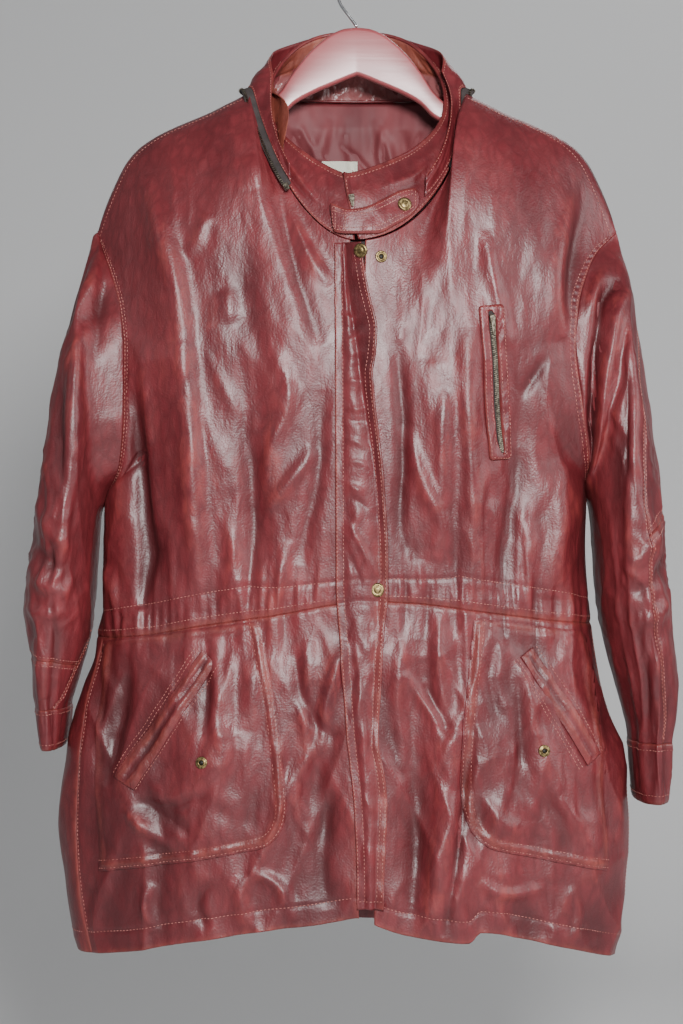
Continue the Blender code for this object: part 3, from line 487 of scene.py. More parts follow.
def panel_shapes(side, face, across, share):
    """Points of the smooth outer surface on one side and one face, at unsigned places."""
    name = SIDE_NAMES[side]
    turn = np.radians(read_table(SECTIONS, "share", name + "_turn", share))
    reach = read_table(SECTIONS, "share", name + "_x", share)
    depth = read_table(SECTIONS, "share", "front" if face == FRONT else "back", share)
    top_x = TIP_X * np.sin(np.pi / 2 * across)
    # Columns keep straight below the neck seam, and are evenly spaced near the armhole.
    sideways = np.sin(turn * across) / np.sin(turn)
    sideways = top_x / TIP_X + (sideways - top_x / TIP_X) * across**2
    angle = np.arcsin(limited(np.sin(turn) * sideways))
    # The upper edge is the neck seam, then the shoulder seam.
    neck = np.sqrt(limited(1 - (top_x / NECK_HALF_WIDTH) ** 2))
    rise = BACK_NECK_RISE * neck if face == BACK else -FRONT_NECK_DROP * neck ** NECK_DROP_POWER[side]
    by_neck = top_x < NECK_HALF_WIDTH
    shoulder_y = NECK_Y * limited(1 - (top_x - NECK_HALF_WIDTH) / 0.08)
    y_top = np.where(by_neck, NECK_Y + face * NECK_HALF_DEPTH * neck, shoulder_y)
    z_top = np.where(by_neck, SHOULDER["z"][0] + rise, read_table(SHOULDER, "x", "z", top_x))
    if face == FRONT:
        waist = read_table(EDGES, "across", name + "_waist", across)
        hem = read_table(EDGES, "across", name + "_hem", across)
    else:
        round_side = np.sin(np.pi / 2 * across) ** 2
        waist = BACK_WAIST + (EDGES[name + "_waist"][-1] - BACK_WAIST) * round_side
        hem = BACK_HEM + (EDGES[name + "_hem"][-1] - BACK_HEM) * round_side
    z = np.where(share <= 1, z_top + (waist - z_top) * share, waist + (hem - waist) * (share - 1))
    x = side * reach * sideways
    down = limited((z_top - z) / ROUNDING[face])
    # The cloth turns over the hanger along the shoulder, and hangs straight down from the neck seam.
    ridge = limited((top_x - 0.085) / 0.05)
    rounded = (down * (2 - down)) ** (1 - 0.5 * ridge)
    edge_fade = np.sin(np.clip(1 - across, 0, 0.25) * 2 * np.pi)
    lift = depth * np.cos(angle) * (1 + FLATNESS * np.sin(angle) ** 2)
    folds = np.zeros_like(x)
    for fold in FRONT_FOLDS if face == FRONT else BACK_FOLDS:
        top, bottom, top_at, bottom_at, half_width, height = np.array(fold) / 1000
        at = limited((top_at - z) / (top_at - bottom_at))
        folds += height * np.sin(np.pi * at) ** 0.7 * hump(x - top - (bottom - top) * at, half_width)
    y = y_top + (face * (lift + folds * edge_fade) - y_top) * rounded
    return np.stack([x, y, z], axis=-1)


def coat_surface(face, across, share):
    """The smooth outer surface. across runs from the right side (-1) to the left one (1); past a side it
    wraps on to the other face, and a share below 0 is over the shoulder."""
    across, share = spread(across, share)
    faces = np.where(share < 0, -face, face)
    over = np.abs(across) > 1
    faces = np.where(over, -faces, faces)
    across = np.where(over, np.sign(across) * 2 - across, across)
    points = np.empty((*across.shape, 3))
    for side in (RIGHT, LEFT):
        for one in (FRONT, BACK):
            here = ((across >= 0) == (side == LEFT)) & (faces == one)
            if here.any():
                points[here] = panel_shapes(side, one, np.abs(across[here]), np.abs(share[here]))
    return points


def unit(vectors):
    return vectors / np.maximum(np.linalg.norm(vectors, axis=-1, keepdims=True), 1e-12)


def coat_normals(face, across, share):
    """Which way the smooth surface faces. A step never leaves the panel at its neck or armhole edge."""
    step = 0.006
    reach = np.where(share < UNDERARM, 1.0, 1.9)
    right = np.clip(across - step, -reach, reach)
    left = np.clip(across + step, -reach, reach)
    up, down = np.maximum(share - step, 0), share + step
    over = coat_surface(face, left, share) - coat_surface(face, right, share)
    fall = coat_surface(face, across, down) - coat_surface(face, across, up)
    return unit(np.cross(over, fall)) * face


def side_seam(side, share):
    """Where the side seam runs. It comes round to the front below the waist on the right."""
    down = limited((np.asarray(share) - UNDERARM) / (2 - UNDERARM))
    return 1 - (side == RIGHT) * 0.24 * np.sin(np.minimum(down * 1.4, 1) * np.pi / 2)


def crease_height(creases, x, z):
    """The height at (x, z) of listed creases. Each has a half width, a rise and its points, all in
    millimetres."""
    total = np.zeros_like(x)
    for half_width, rise, *points in creases:
        half_width, rise = half_width / 1000, rise / 1000
        path = smooth_path(np.array(points) / 1000, 0.008)
        low, high = path.min(axis=0) - 3 * half_width, path.max(axis=0) + 3 * half_width
        near = (x > low[0]) & (x < high[0]) & (z > low[1]) & (z < high[1])
        px, pz = x[near], z[near]
        least, place = np.full(px.shape, 1.0), np.zeros(px.shape)
        for i in range(len(path) - 1):
            run_x, run_z = path[i + 1] - path[i]
            along = ((px - path[i, 0]) * run_x + (pz - path[i, 1]) * run_z) / (run_x**2 + run_z**2)
            along = limited(along)
            away = (px - path[i, 0] - along * run_x) ** 2 + (pz - path[i, 1] - along * run_z) ** 2
            closer = away < least
            least[closer] = away[closer]
            place[closer] = (i + along[closer]) / (len(path) - 1)
        total[near] += rise * np.sin(np.pi * place) ** 0.6 * np.exp(-least / half_width**2)
    return total


def soft_noise(u, v, seed):
    """Smooth noise from -1 to 1 with cells of 1 by 1."""
    u, v = spread(u, v)
    lattice = np.random.default_rng(seed).uniform(-1, 1, (64, 64))
    low_u, low_v = np.floor(u).astype(int), np.floor(v).astype(int)
    s, t = u - low_u, v - low_v
    s, t = s**3 * (s * (6 * s - 15) + 10), t**3 * (t * (6 * t - 15) + 10)
    a, b, c, d = (lattice[(low_u + i) % 64, (low_v + j) % 64] for i in (0, 1) for j in (0, 1))
    return 1.5 * ((a * (1 - s) + c * s) * (1 - t) + (b * (1 - s) + d * s) * t)


def hanging_ripples(x, z, seed):
    """Soft upright ripples of worn leather: broad ones, sharp narrow ones, slanting ones and small dents."""
    sway = 0.006 * soft_noise(x / 0.07, z / 0.09, seed + 1)
    broad = soft_noise((x + sway) / 0.028, z / 0.150, seed + 2)
    sharp = 0.5 - np.abs(soft_noise((x + 2 * sway) / 0.024, z / 0.120, seed + 3))
    slant = 0.5 - np.abs(soft_noise((x + 0.5 * z) / 0.034, (z - 0.3 * x) / 0.080, seed + 4))
    dents = soft_noise((x + sway) / 0.010, z / 0.022, seed + 5)
    return 0.0017 * broad + 0.0024 * sharp + 0.0014 * slant + 0.0003 * dents


CASING_TOP, CASING_ROW, HEM_ROW = 0.938, 0.984, 1.934


def waist_gathers(x, share, seed):
    """The waist is drawn in: tight upright gathers at the casing, which open out above and below it."""
    tight = np.sin(x / 0.0100 * 2 * np.pi + 2.5 * soft_noise(x / 0.022, share / 0.2, seed))
    loose = soft_noise(x / 0.012, share / 0.15, seed + 1)
    casing = hump(share - 0.970, 0.024)
    above = hump(np.maximum(0.94 - share, 0), 0.09)
    below = hump(np.maximum(share - 1.0, 0), 0.10)
    uneven = 0.7 + 0.3 * soft_noise(x / 0.040, 0.5, seed + 2)
    return uneven * above * below * (0.0014 * tight * (0.35 + 0.65 * casing) + 0.0026 * loose)


def seam_dips(share):
    """The waist seam and the upper seam of its casing press the leather in."""
    return -0.0013 * hump(share - 1.0, 0.007) - 0.0007 * hump(share - CASING_TOP, 0.006)


BACK_CREASES = (
    # in millimetres: half width, rise, then points (x, z)
    (9, 4, (-135, -230), (-150, -330), (-142, -440)),
    (9, -4, (-215, -300), (-205, -410), (-190, -520)),
    (10, 3.2, (-30, -300), (-18, -430), (-30, -560)),
    (9, -3, (34, -240), (18, -350), (22, -470)),
    (9, 3.8, (112, -260), (104, -380), (86, -500)),
    (9, 4, (200, -330), (206, -440), (198, -560)),
    (8, -3.8, (150, -420), (160, -530), (172, -640)),
    (8, 3.6, (-130, -460), (-118, -560), (-124, -664)),
    (7, -3, (-70, -520), (-62, -590), (-72, -670)),
    (7, 3.2, (50, -540), (62, -610), (56, -680)),
    (8, 4.4, (-245, -560), (-225, -610), (-214, -664)),
    (8, 4, (225, -560), (210, -610), (203, -655)),
    (10, 3.4, (-170, -716), (-165, -840), (-182, -960)),
    (9, 3.4, (-40, -710), (-55, -820), (-50, -940)),
    (9, -3.4, (60, -716), (74, -820), (72, -930)),
    (10, 3.6, (180, -720), (184, -850), (204, -980)),
    (9, -3.2, (-250, -740), (-262, -850), (-272, -950)),
    (12, 3, (0, -880), (-6, -960), (-20, -1034)),
)


def back_relief(x, z, across, share):
    relief = crease_height(BACK_CREASES, x, z) + hanging_ripples(x, z, 40) + waist_gathers(x, share, 50)
    edge = np.where(across < 0, 2 - side_seam(RIGHT, share), 1.0)
    fade = limited((edge - np.abs(across)) * 8) ** 0.5
    return relief * fade * limited(share * 12) + seam_dips(share)


def back_place(across, share):
    """Turns places on the back panels, whose sides are at -1 and 1, into places on the whole surface."""
    across, share = spread(across, share)
    moved = np.where(across < 0, 1 - side_seam(RIGHT, share), 0) * np.abs(across) ** 3
    return across + np.sign(across) * moved


def skin(face, across, share, relief_at, level=0.0):
    """Points of the creased leather, the height of its creases, and the way it faces."""
    base = coat_surface(face, across, share)
    normals = coat_normals(face, across, share)
    relief = relief_at(base[..., 0], base[..., 2], across, share)
    return base + normals * (relief + level)[..., None], relief, normals


def even_steps(low, high, count):
    """Places from low to high, closer at both ends, where a seam turns the leather in."""
    s = np.linspace(0, 1, count)
    return low + (high - low) * (s - 0.05 * np.sin(2 * np.pi * s))


def shell(outer, normals, thickness, skip=3, closed=False):
    """A wall with a fine outer layer, a coarser inner one, and rims between them: (points, faces)."""
    count, length = outer.shape[:2]
    columns = list(range(0, count, skip)) if closed else sorted({*range(0, count, skip), count - 1})
    rows = sorted({*range(0, length, skip), length - 1})
    inner = (outer - normals * thickness)[np.ix_(columns, rows)]
    points = np.concatenate([outer.reshape(-1, 3), inner.reshape(-1, 3)])
    spans = count if closed else count - 1
    i, j = crossed(np.arange(spans), np.arange(length - 1))
    right = (i + 1) % count
    here, beside = i * length + j, right * length + j
    quads = np.stack([here, here + 1, beside + 1, beside], axis=-1)
    faces = quads.reshape(-1, 4).tolist()

    def fine(i, j):
        return (i % count) * length + j

    def coarse(a, b):
        return count * length + (a % len(columns)) * len(rows) + b

    column_spans = len(columns) if closed else len(columns) - 1
    for a in range(column_spans):
        for b in range(len(rows) - 1):
            faces.append((coarse(a, b), coarse(a + 1, b), coarse(a + 1, b + 1), coarse(a, b + 1)))

    def rim(fine_at, coarse_at, stops):
        for n, (low, high) in enumerate(zip(stops, stops[1:])):
            middle = (low + high) // 2
            for k in range(low, high):
                faces.append((fine_at(k), fine_at(k + 1), coarse_at(n if k < middle else n + 1)))
            faces.append((fine_at(middle), coarse_at(n), coarse_at(n + 1)))

    stops = [*columns, count] if closed else columns
    rim(lambda k: fine(k, 0), lambda n: coarse(n, 0), stops)
    rim(lambda k: fine(k, length - 1), lambda n: coarse(n, len(rows) - 1), stops)
    if not closed:
        rim(lambda k: fine(0, k), lambda n: coarse(0, n), rows)
        rim(lambda k: fine(count - 1, k), lambda n: coarse(len(columns) - 1, n), rows)
    return points, faces


def math_node(tree, operation, a, b):
    return add_node(tree, "ShaderNodeMath", {"operation": operation}, _0=a, _1=b).outputs[0]


def mark(tree, name):
    """A number that the piece's points carry."""
    return add_node(tree, "ShaderNodeAttribute", {"attribute_name": name}).outputs["Fac"]


def grain_group():
    """The grain of cowhide: fine pebbles, a net of small creases, and clouds of colour."""
    group = bpy.data.node_groups.new("cowhide_grain", "ShaderNodeTree")
    sockets = group.interface
    sockets.new_socket("Place", in_out="INPUT", socket_type="NodeSocketVector")
    sizes = (("Pebble Size", 0.0019), ("Crease Size", 0.011), ("Cloud Size", 0.09), ("Upright", 0.45))
    for name, value in sizes:
        sockets.new_socket(name, in_out="INPUT", socket_type="NodeSocketFloat").default_value = value
    for name in ("Height", "Cloud", "Fine Cloud", "Crease"):
        sockets.new_socket(name, in_out="OUTPUT", socket_type="NodeSocketFloat")
    start = group.nodes.new("NodeGroupInput")
    end = group.nodes.new("NodeGroupOutput")

    def over(size):
        return math_node(group, "DIVIDE", 1.0, start.outputs[size])

    def times(value, number):
        return math_node(group, "MULTIPLY", value, number)

    place = start.outputs["Place"]
    upright = add_node(group, "ShaderNodeCombineXYZ", X=1.0, Y=1.0, Z=start.outputs["Upright"]).outputs[0]
    tall = add_node(group, "ShaderNodeVectorMath", {"operation": "MULTIPLY"}, _0=place, _1=upright).outputs[0]
    warp = add_node(group, "ShaderNodeTexNoise", Vector=tall, Scale=70.0, Detail=2.0).outputs["Color"]
    pull = add_node(group, "ShaderNodeVectorMath", {"operation": "SCALE"}, _0=warp, Scale=0.010)
    bent = add_node(group, "ShaderNodeVectorMath", _0=tall, _1=pull.outputs[0]).outputs[0]
    net = add_node(group, "ShaderNodeTexVoronoi", {"feature": "DISTANCE_TO_EDGE"}, Vector=bent,
                   Scale=over("Crease Size"))
    line = rescale(group, net.outputs["Distance"], before=(0.0, 0.30))
    soft = add_node(group, "ShaderNodeTexNoise", Vector=bent, Scale=over("Crease Size"), Detail=3.0)
    pebble = add_node(group, "ShaderNodeTexVoronoi", {"feature": "SMOOTH_F1"}, Vector=place,
                      Scale=over("Pebble Size"))
    folds = add_node(group, "ShaderNodeTexNoise", Vector=bent, Scale=times(over("Crease Size"), 0.7),
                     Detail=3.0, Roughness=0.6)
    fold_side = math_node(group, "SUBTRACT", folds.outputs["Fac"], 0.5)
    fold = add_node(group, "ShaderNodeMath", {"operation": "ABSOLUTE"}, _0=fold_side).outputs[0]
    height = times(line, 0.06)
    for layer, share in ((fold, -1.5), (soft.outputs["Fac"], 0.7), (pebble.outputs["Distance"], -0.26)):
        height = math_node(group, "ADD", height, times(layer, share))
    cloud = add_node(group, "ShaderNodeTexNoise", Vector=tall, Scale=over("Cloud Size"), Detail=4.0,
                     Roughness=0.6)
    fine = add_node(group, "ShaderNodeTexNoise", Vector=bent, Scale=times(over("Cloud Size"), 6.0),
                    Detail=5.0, Roughness=0.65)
    group.links.new(height, end.inputs["Height"])
    group.links.new(cloud.outputs["Fac"], end.inputs["Cloud"])
    group.links.new(fine.outputs["Fac"], end.inputs["Fine Cloud"])
    group.links.new(line, end.inputs["Crease"])
    return group


cowhide_grain = grain_group()


def burgundy_cowhide(dark, mid, worn, seam_wear):
    """Glossy aniline leather: painted shade in the creases' troughs, rubbed redder on the ridges, and orange
    at the seams.
    """
    material, tree, shader = new_material("burgundy_cowhide", 0.35)
    place = add_node(tree, "ShaderNodeTexCoord").outputs["Object"]
    grain = add_node(tree, "ShaderNodeGroup", {"node_tree": cowhide_grain}, Place=place)
    relief, fine = mark(tree, "relief"), grain.outputs["Fine Cloud"]
    color = ramp(tree, grain.outputs["Cloud"], (0.34, dark), (0.62, mid))
    high = rescale(tree, relief, before=(-0.2, 1.6))
    rubbed = math_node(tree, "MULTIPLY", rescale(tree, fine, before=(0.45, 0.70)), high)
    color = blend_colors(tree, rubbed, color, worn)
    # Painted shade: where the relief mark is low, in troughs, seam dips and slits, the colour darkens towards
    # a third of the dark tone.
    low = rescale(tree, relief, before=(-0.1, -2.2), after=(0.0, 0.75))
    color = blend_colors(tree, low, color, [0.35 * c for c in dark])
    at_seam = rescale(tree, fine, before=(0.30, 0.60), after=(0.05, 0.40))
    color = blend_colors(tree, math_node(tree, "MULTIPLY", at_seam, mark(tree, "seam")), color, seam_wear)
    cracked = rescale(tree, grain.outputs["Crease"], after=(0.30, 0.0))
    color = blend_colors(tree, cracked, color, [0.4 * c for c in dark])
    rough = rescale(tree, fine, before=(0.30, 0.70), after=(0.38, 0.52))
    finish_surface(tree, shader, color, rough, (grain.outputs["Height"], 0.85, 0.0009))
    shader.inputs["Specular IOR Level"].default_value = 0.5
    shader.inputs["Coat Weight"].default_value = 0.08
    shader.inputs["Coat Roughness"].default_value = 0.28
    return material


leather = burgundy_cowhide((0.100, 0.010, 0.014), (0.170, 0.021, 0.026), (0.240, 0.033, 0.031),
                           (0.330, 0.068, 0.045))


def leather_marks(total, relief, seam):
    """What the leather's colour reads: the height of the creases, whose troughs get painted shade, and how
    near a sewn edge is.
    """
    marks = {"relief": np.zeros(total), "seam": np.zeros(total)}
    marks["relief"][:relief.size] = np.clip(relief.ravel() / 0.003, -2, 2)
    marks["seam"][:seam.size] = seam.ravel()
    return marks


def sewn_sheet(name, grid, nodes, seam=None, cover=None, slot="leather", thickness=0.0018, closed=False,
               skip=3):
    """Makes one cut piece from (points, relief, normals)."""
    outer, relief, normals = grid
    points, faces = shell(outer, normals, thickness, skip, closed)
    marks = leather_marks(len(points), relief, np.zeros(relief.shape) if seam is None else seam)
    piece = make_piece(name, points, faces, cover or leather, slot, marks)
    if nodes:
        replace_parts(piece, *nodes)
    return piece


def near_seams(across, share):
    """1 on the sewn edges of a panel, and 0 about a centimetre away."""
    waist, hem, armhole = np.abs(share - 1.0) * 0.36, np.abs(2.0 - share) * 0.34, (1 - np.abs(across)) * 0.33
    return hump(np.minimum(np.minimum(waist, hem), armhole), 0.0036)


for name, top, bottom, rows, node in (
    ("back_body", 0.0, 1.0, 150, "back_upper"),
    ("back_skirt", 1.0, 2.0, 120, "back_lower"),
):
    across, share = crossed(even_steps(-1, 1, 211), even_steps(top, bottom, rows))
    sheet_grid = skin(BACK, back_place(across, share), share, back_relief)
    sewn_sheet(name, sheet_grid, [node], near_seams(across, share))


# ================================================================ Lining and label
# Maroon satin hangs in soft folds inside the back, and shows through the neck. A cream woven label,
# left blank, is sewn to it along its upper edge.
LINING_DEPTH = 0.0095
LABEL_LEFT, LABEL_RIGHT, LABEL_TOP, LABEL_BOTTOM = -0.038, 0.001, -0.194, -0.234
LINING_CREASES = (
    # in millimetres: half width, rise, then points (x, z)
    (3.5, 3.4, (-78, -158), (-58, -186), (-34, -214)),
    (3.5, -3.6, (-64, -156), (-46, -184), (-20, -208)),
    (3, 3, (-20, -176), (6, -196), (28, -226)),
    (3.5, -3.4, (30, -158), (24, -186), (34, -222)),
    (3, 3.2, (72, -164), (56, -188), (40, -208)),
    (6, 4.5, (-64, -160), (-72, -200), (-88, -250)),
    (7, -5, (-30, -150), (-46, -200), (-52, -260)),
    (5, 4, (-12, -165), (-8, -190), (2, -230)),
    (6, -4.5, (20, -150), (38, -195), (46, -250)),
    (6, 4.5, (52, -160), (56, -210), (64, -270)),
    (6, -3.5, (4, -205), (-30, -228), (-60, -236)),
    (5, 3, (30, -202), (56, -216), (84, -222)),
)


def lining_relief(x, z, across, share):
    """How far the lining's folds stand off its even depth, away from the neck seam."""
    folds = crease_height(LINING_CREASES, x, z)
    folds += 0.0016 * soft_noise(x / 0.022, z / 0.05, 71) + 0.0007 * soft_noise(x / 0.009, z / 0.02, 72)
    folds = np.clip(folds, -0.005, 0.0042) * limited(share * 20)
    return folds - LINING_DEPTH * limited(0.4 + share * 12)


def maroon_satin():
    material, tree, shader = new_material("maroon_satin", 0.62)
    threads, clouds = noise(tree, (900, 900, 2600)), noise(tree, (24, 24, 10), 4.0)
    color = ramp(tree, clouds, (0.30, (0.110, 0.017, 0.022)), (0.70, (0.215, 0.044, 0.050)))
    finish_surface(tree, shader, color, bump=(threads, 0.25, 0.0002))
    shader.inputs["Sheen Weight"].default_value = 0.4
    shader.inputs["Sheen Roughness"].default_value = 0.35
    return material


neck_reach = math.degrees(math.asin(NECK_HALF_WIDTH / TIP_X)) / 90
across, share = crossed(np.linspace(-neck_reach, neck_reach, 121), np.linspace(0.004, 0.50, 111))
points, relief, normals = skin(BACK, across, share, lining_relief)
sewn_sheet("satin_back_lining", (points, relief, -normals), ["back_lining"], cover=maroon_satin(),
           slot="satin_lining", thickness=0.0006, skip=4)


def waves(tree, scale, distortion, direction="Z"):
    """Fine bands, as of woven or twisted threads."""
    node = add_node(tree, "ShaderNodeTexWave", {"bands_direction": direction},
                    Vector=stretched(tree, (1, 1, 1)), Scale=scale, Distortion=distortion)
    return node.outputs["Fac"]


def cream_label_cloth():
    material, tree, shader = new_material("cream_label_cloth", 0.72)
    weave = waves(tree, 700.0, 0.4)
    color = ramp(tree, weave, (0.2, (0.58, 0.56, 0.45)), (0.8, (0.74, 0.73, 0.64)))
    finish_surface(tree, shader, color, bump=(weave, 0.3, 0.0002))
    return material


def find_places(surface, x, z, u, v):
    """Where on a surface(u, v) the points (x, z) lie, from a first guess."""
    step = 0.003
    for _ in range(14):
        here = surface(u, v)
        by_u = (surface(u + step, v) - surface(u - step, v)) / (2 * step)
        by_v = (surface(u, v + step) - surface(u, v - step)) / (2 * step)
        scale = by_u[..., 0] * by_v[..., 2] - by_v[..., 0] * by_u[..., 2]
        off_x, off_z = x - here[..., 0], z - here[..., 2]
        u = u + 0.8 * (off_x * by_v[..., 2] - off_z * by_v[..., 0]) / scale
        v = v + 0.8 * (off_z * by_u[..., 0] - off_x * by_u[..., 2]) / scale
    return u, v


x, z = crossed(np.linspace(LABEL_LEFT, LABEL_RIGHT, 40), np.linspace(LABEL_TOP, LABEL_BOTTOM, 32))
across, share = find_places(lambda u, v: coat_surface(BACK, u, v), x, z, x / 0.38, 0.10 + 0 * z)
points, relief, normals = skin(BACK, across, share, lining_relief, -0.0010)
sewn_sheet("blank_neck_label", (points, relief, -normals), ["neck_label"], cover=cream_label_cloth(),
           slot="label_cloth", thickness=0.0007, skip=4)


# ================================================================ Fronts
# Two upper and two lower burgundy cowhide panels, folded back along the opening, sewn to the back at the
# sides and gathered at the waist. The creases are placed where wear has set them.
OPENING_ACROSS, OPENING_DRIFT = 0.018, 0.022
FRONT_CREASES = (
    # in millimetres: half width, rise, then points (x, z); the wearer's right, above the waist
    (11, 5, (-221, -230), (-200, -290), (-182, -345), (-171, -440)),
    (11, 5.5, (-176, -400), (-168, -500), (-164, -590), (-163, -672)),
    (8, 4.2, (-215, -395), (-212, -500), (-207, -610)),
    (9, -8.5, (-228, -450), (-216, -560), (-213, -620), (-221, -672)),
    (8, 4.5, (-262, -626), (-252, -650), (-242, -680)),
    (7, 3, (-150, -272), (-160, -294), (-170, -316)),
    (8, 3.8, (-75, -244), (-52, -310), (-27, -345)),
    (8, -3.4, (-80, -250), (-60, -335), (-37, -405)),
    (14, 2.4, (-112, -214), (-108, -229), (-103, -246)),
    (12, 2.6, (-134, -350), (-130, -365), (-125, -382)),
    (11, 3.2, (-68, -440), (-78, -470), (-90, -530), (-98, -570)),
    (7, 3.6, (-43, -508), (-66, -540), (-94, -575)),
    (8, -3.4, (-112, -470), (-104, -580), (-108, -668)),
    (8, -3.2, (-34, -450), (-40, -540), (-60, -625)),
    (6, 2.8, (-130, -560), (-128, -620), (-132, -672)),
    (6, 3, (-70, -600), (-76, -640), (-80, -676)),
    (6, 2.8, (-190, -580), (-188, -630), (-186, -676)),
    # the wearer's left, above the waist
    (9, 5, (228, -222), (207, -300), (203, -350), (208, -398)),
    (8, -4.5, (238, -240), (223, -310), (215, -376)),
    (8, 4.2, (108, -390), (112, -500), (117, -600), (118, -668)),
    (7, 3.8, (87, -450), (84, -500), (87, -570)),
    (7, 3.4, (126, -290), (138, -350), (152, -408)),
    (8, 4.2, (46, -486), (68, -550), (84, -580), (79, -622)),
    (7, -4.2, (39, -400), (46, -500), (43, -590), (60, -618)),
    (5, -3, (191, -416), (178, -436), (164, -456)),
    (8, -4, (164, -510), (153, -590), (152, -668)),
    (8, 4.2, (212, -520), (206, -590), (198, -660)),
    (6, 3, (135, -560), (136, -610), (133, -668)),
    (6, 3, (178, -580), (176, -630), (172, -672)),
    (6, 2.6, (60, -620), (62, -646), (58, -664)),
    # below the waist
    (9, -6, (-227, -690), (-240, -770), (-254, -850)),
    (9, 4, (-276, -730), (-283, -830), (-285, -930)),
    (8, 3.6, (-48, -700), (-52, -790), (-46, -880)),
    (7, 4, (46, -732), (64, -758), (86, -788)),
    (14, 7, (98, -790), (86, -890), (68, -1000)),
    (6, -6.4, (113, -780), (102, -890), (85, -995)),
    (9, -3.4, (52, -830), (60, -900), (54, -975)),
    (9, -3.4, (-30, -850), (-36, -910), (-30, -968)),
    (6, 3.2, (82, -672), (80, -720), (86, -770)),
    (9, 3.4, (262, -700), (272, -800), (270, -920)),
    (7, 3, (-110, -935), (-116, -960), (-112, -994)),
    (8, -2.8, (190, -940), (196, -970), (190, -1010)),
    (7, 4.2, (-10, -700), (-30, -760), (-36, -820)),
    (6, -4, (-62, -712), (-50, -770), (-22, -800)),
    (8, 4.4, (-36, -800), (-60, -840), (-52, -900)),
    (6, 3.8, (-110, -930), (-80, -944), (-62, -980)),
    (6, -3.8, (-150, -940), (-160, -965), (-150, -990)),
    (6, 3.6, (-205, -945), (-214, -965), (-204, -995)),
    (7, 3.6, (44, -700), (40, -760), (50, -830)),
    (6, -3.6, (66, -745), (82, -775), (94, -800)),
    (6, 3.6, (120, -940), (150, -955), (190, -950)),
    (6, 3.4, (215, -950), (225, -980), (214, -1010)),
)


def front_relief(x, z, across, share):
    calm = 0.45 + 0.55 * limited((np.abs(x) - 0.03) / 0.05)
    calm *= 0.40 + 0.60 * limited((share - 0.20) / 0.40)
    relief = 1.25 * crease_height(FRONT_CREASES, x, z) + calm * hanging_ripples(x, z, 10)
    relief += waist_gathers(x, share, 20) * limited(np.abs(x) / 0.03 - 0.5)
    skirt = limited((share - 1.03) / 0.12)
    for lean, seed in ((0.5, 21), (-0.4, 22)):
        crumples = 0.5 - np.abs(soft_noise((x + lean * z) / 0.036, z / 0.110, seed))
        relief += 0.0024 * (0.20 + skirt) * crumples
    edge = np.where(across < 0, side_seam(RIGHT, share), 1.0)
    fade = limited((edge - np.abs(across)) * 10) ** 0.5
    relief = relief * fade * limited(share * 12) - 0.0007 * hump(share - HEM_ROW, 0.008)
    # Between the two rows at the left armhole the leather is puckered like a ladder.
    ladder = hump(np.abs(across) - 0.973, 0.012) * (share < UNDERARM)
    return relief + seam_dips(share) + 0.0009 * ladder * np.sin(z / 0.0078 * 2 * np.pi + 3 * x / 0.01)


def front_place(side, across, share):
    """Turns places on a front panel, from the opening (0) to its side seam (1), into signed places."""
    moved = (1 - side_seam(side, share)) * across**3
    drift = OPENING_DRIFT * np.maximum(share - 1, 0) * np.maximum(1 - across, 0) ** 3
    return side * (across - moved) + drift


def front_skin(side, across, share, level=0.0):
    return skin(FRONT, front_place(side, across, share), share, front_relief, level)


for side, side_name in SIDE_NAMES.items():
    for part, top, bottom, rows in (("upper", 0.0, 1.0, 185), ("lower", 1.0, 2.0, 165)):
        across, share = crossed(even_steps(OPENING_ACROSS, 1, 166), even_steps(top, bottom, rows))
        by_opening = 0.8 * hump(across - OPENING_ACROSS, 0.010)
        sewn_sheet(f"front_{side_name}_{part}_panel", front_skin(side, across, share),
                   [f"front_{side_name}_{part}"], np.maximum(near_seams(across, share), by_opening))

# Every stitch row is a line of points on the leather, with the way the leather faces there.
STITCH_PITCH = 0.0040
stitch_rows = []


def sew(line, pitch=STITCH_PITCH):
    """Keeps a row of stitches at an even pitch along a line, given as (points, relief, normals)."""
    spots, _, normals = line
    lengths = lengths_along(spots)
    even = np.arange(pitch / 2, lengths[-1], pitch)
    places, outs = read_line(spots, lengths, even), read_line(normals, lengths, even)
    if len(even) > 2:
        stitch_rows.append((places, unit(np.gradient(places, axis=0)), unit(outs)))


def find_front(x, z):
    """Signed places of points (x, z) on the fronts."""
    guess = np.clip(x / 0.29, -0.9, 0.9), np.clip(1 + (-0.685 - z) / 0.34, 0.1, 1.95)
    return find_places(lambda u, v: coat_surface(FRONT, u, v), x, z, *guess)


def front_at(x, z, level=0.0):
    """The creased leather of the fronts at points (x, z)."""
    return skin(FRONT, *find_front(x, z), front_relief, level)


def beside(path, distance):
    """A path in (x, z) moved sideways."""
    run = unit(np.gradient(path, axis=0))
    return path + distance * np.stack([-run[:, 1], run[:, 0]], axis=1)


# Rows run along the casing, the hem, both sides of the armhole seams, the side seams and the shoulders.
SEAM_END = 0.985
ARMHOLE_ROWS = {RIGHT: (0.989, 0.970), LEFT: (0.989, 0.958)}
BACK_ARMHOLE_ROWS = (-0.988, -0.966, 0.966, 0.988)
beside_armhole = np.linspace(0.02, UNDERARM - 0.01, 90)
for side in (RIGHT, LEFT):
    for across, share in (
        (np.linspace(0.07, SEAM_END, 160), CASING_ROW),
        (np.linspace(0.07, SEAM_END, 160), CASING_TOP),
        (np.linspace(0.03, SEAM_END, 160), HEM_ROW),
        (ARMHOLE_ROWS[side][0], beside_armhole),
        (ARMHOLE_ROWS[side][1], beside_armhole),
        (0.975, np.linspace(1.02, 1.93, 120)),
        (np.linspace(neck_reach, SEAM_END, 60), 0.012),
    ):
        sew(front_skin(side, *spread(across, share)))
for share in (CASING_ROW, CASING_TOP, HEM_ROW):
    across, share = spread(np.linspace(-SEAM_END, SEAM_END, 300), share)
    sew(skin(BACK, back_place(across, share), share, back_relief))
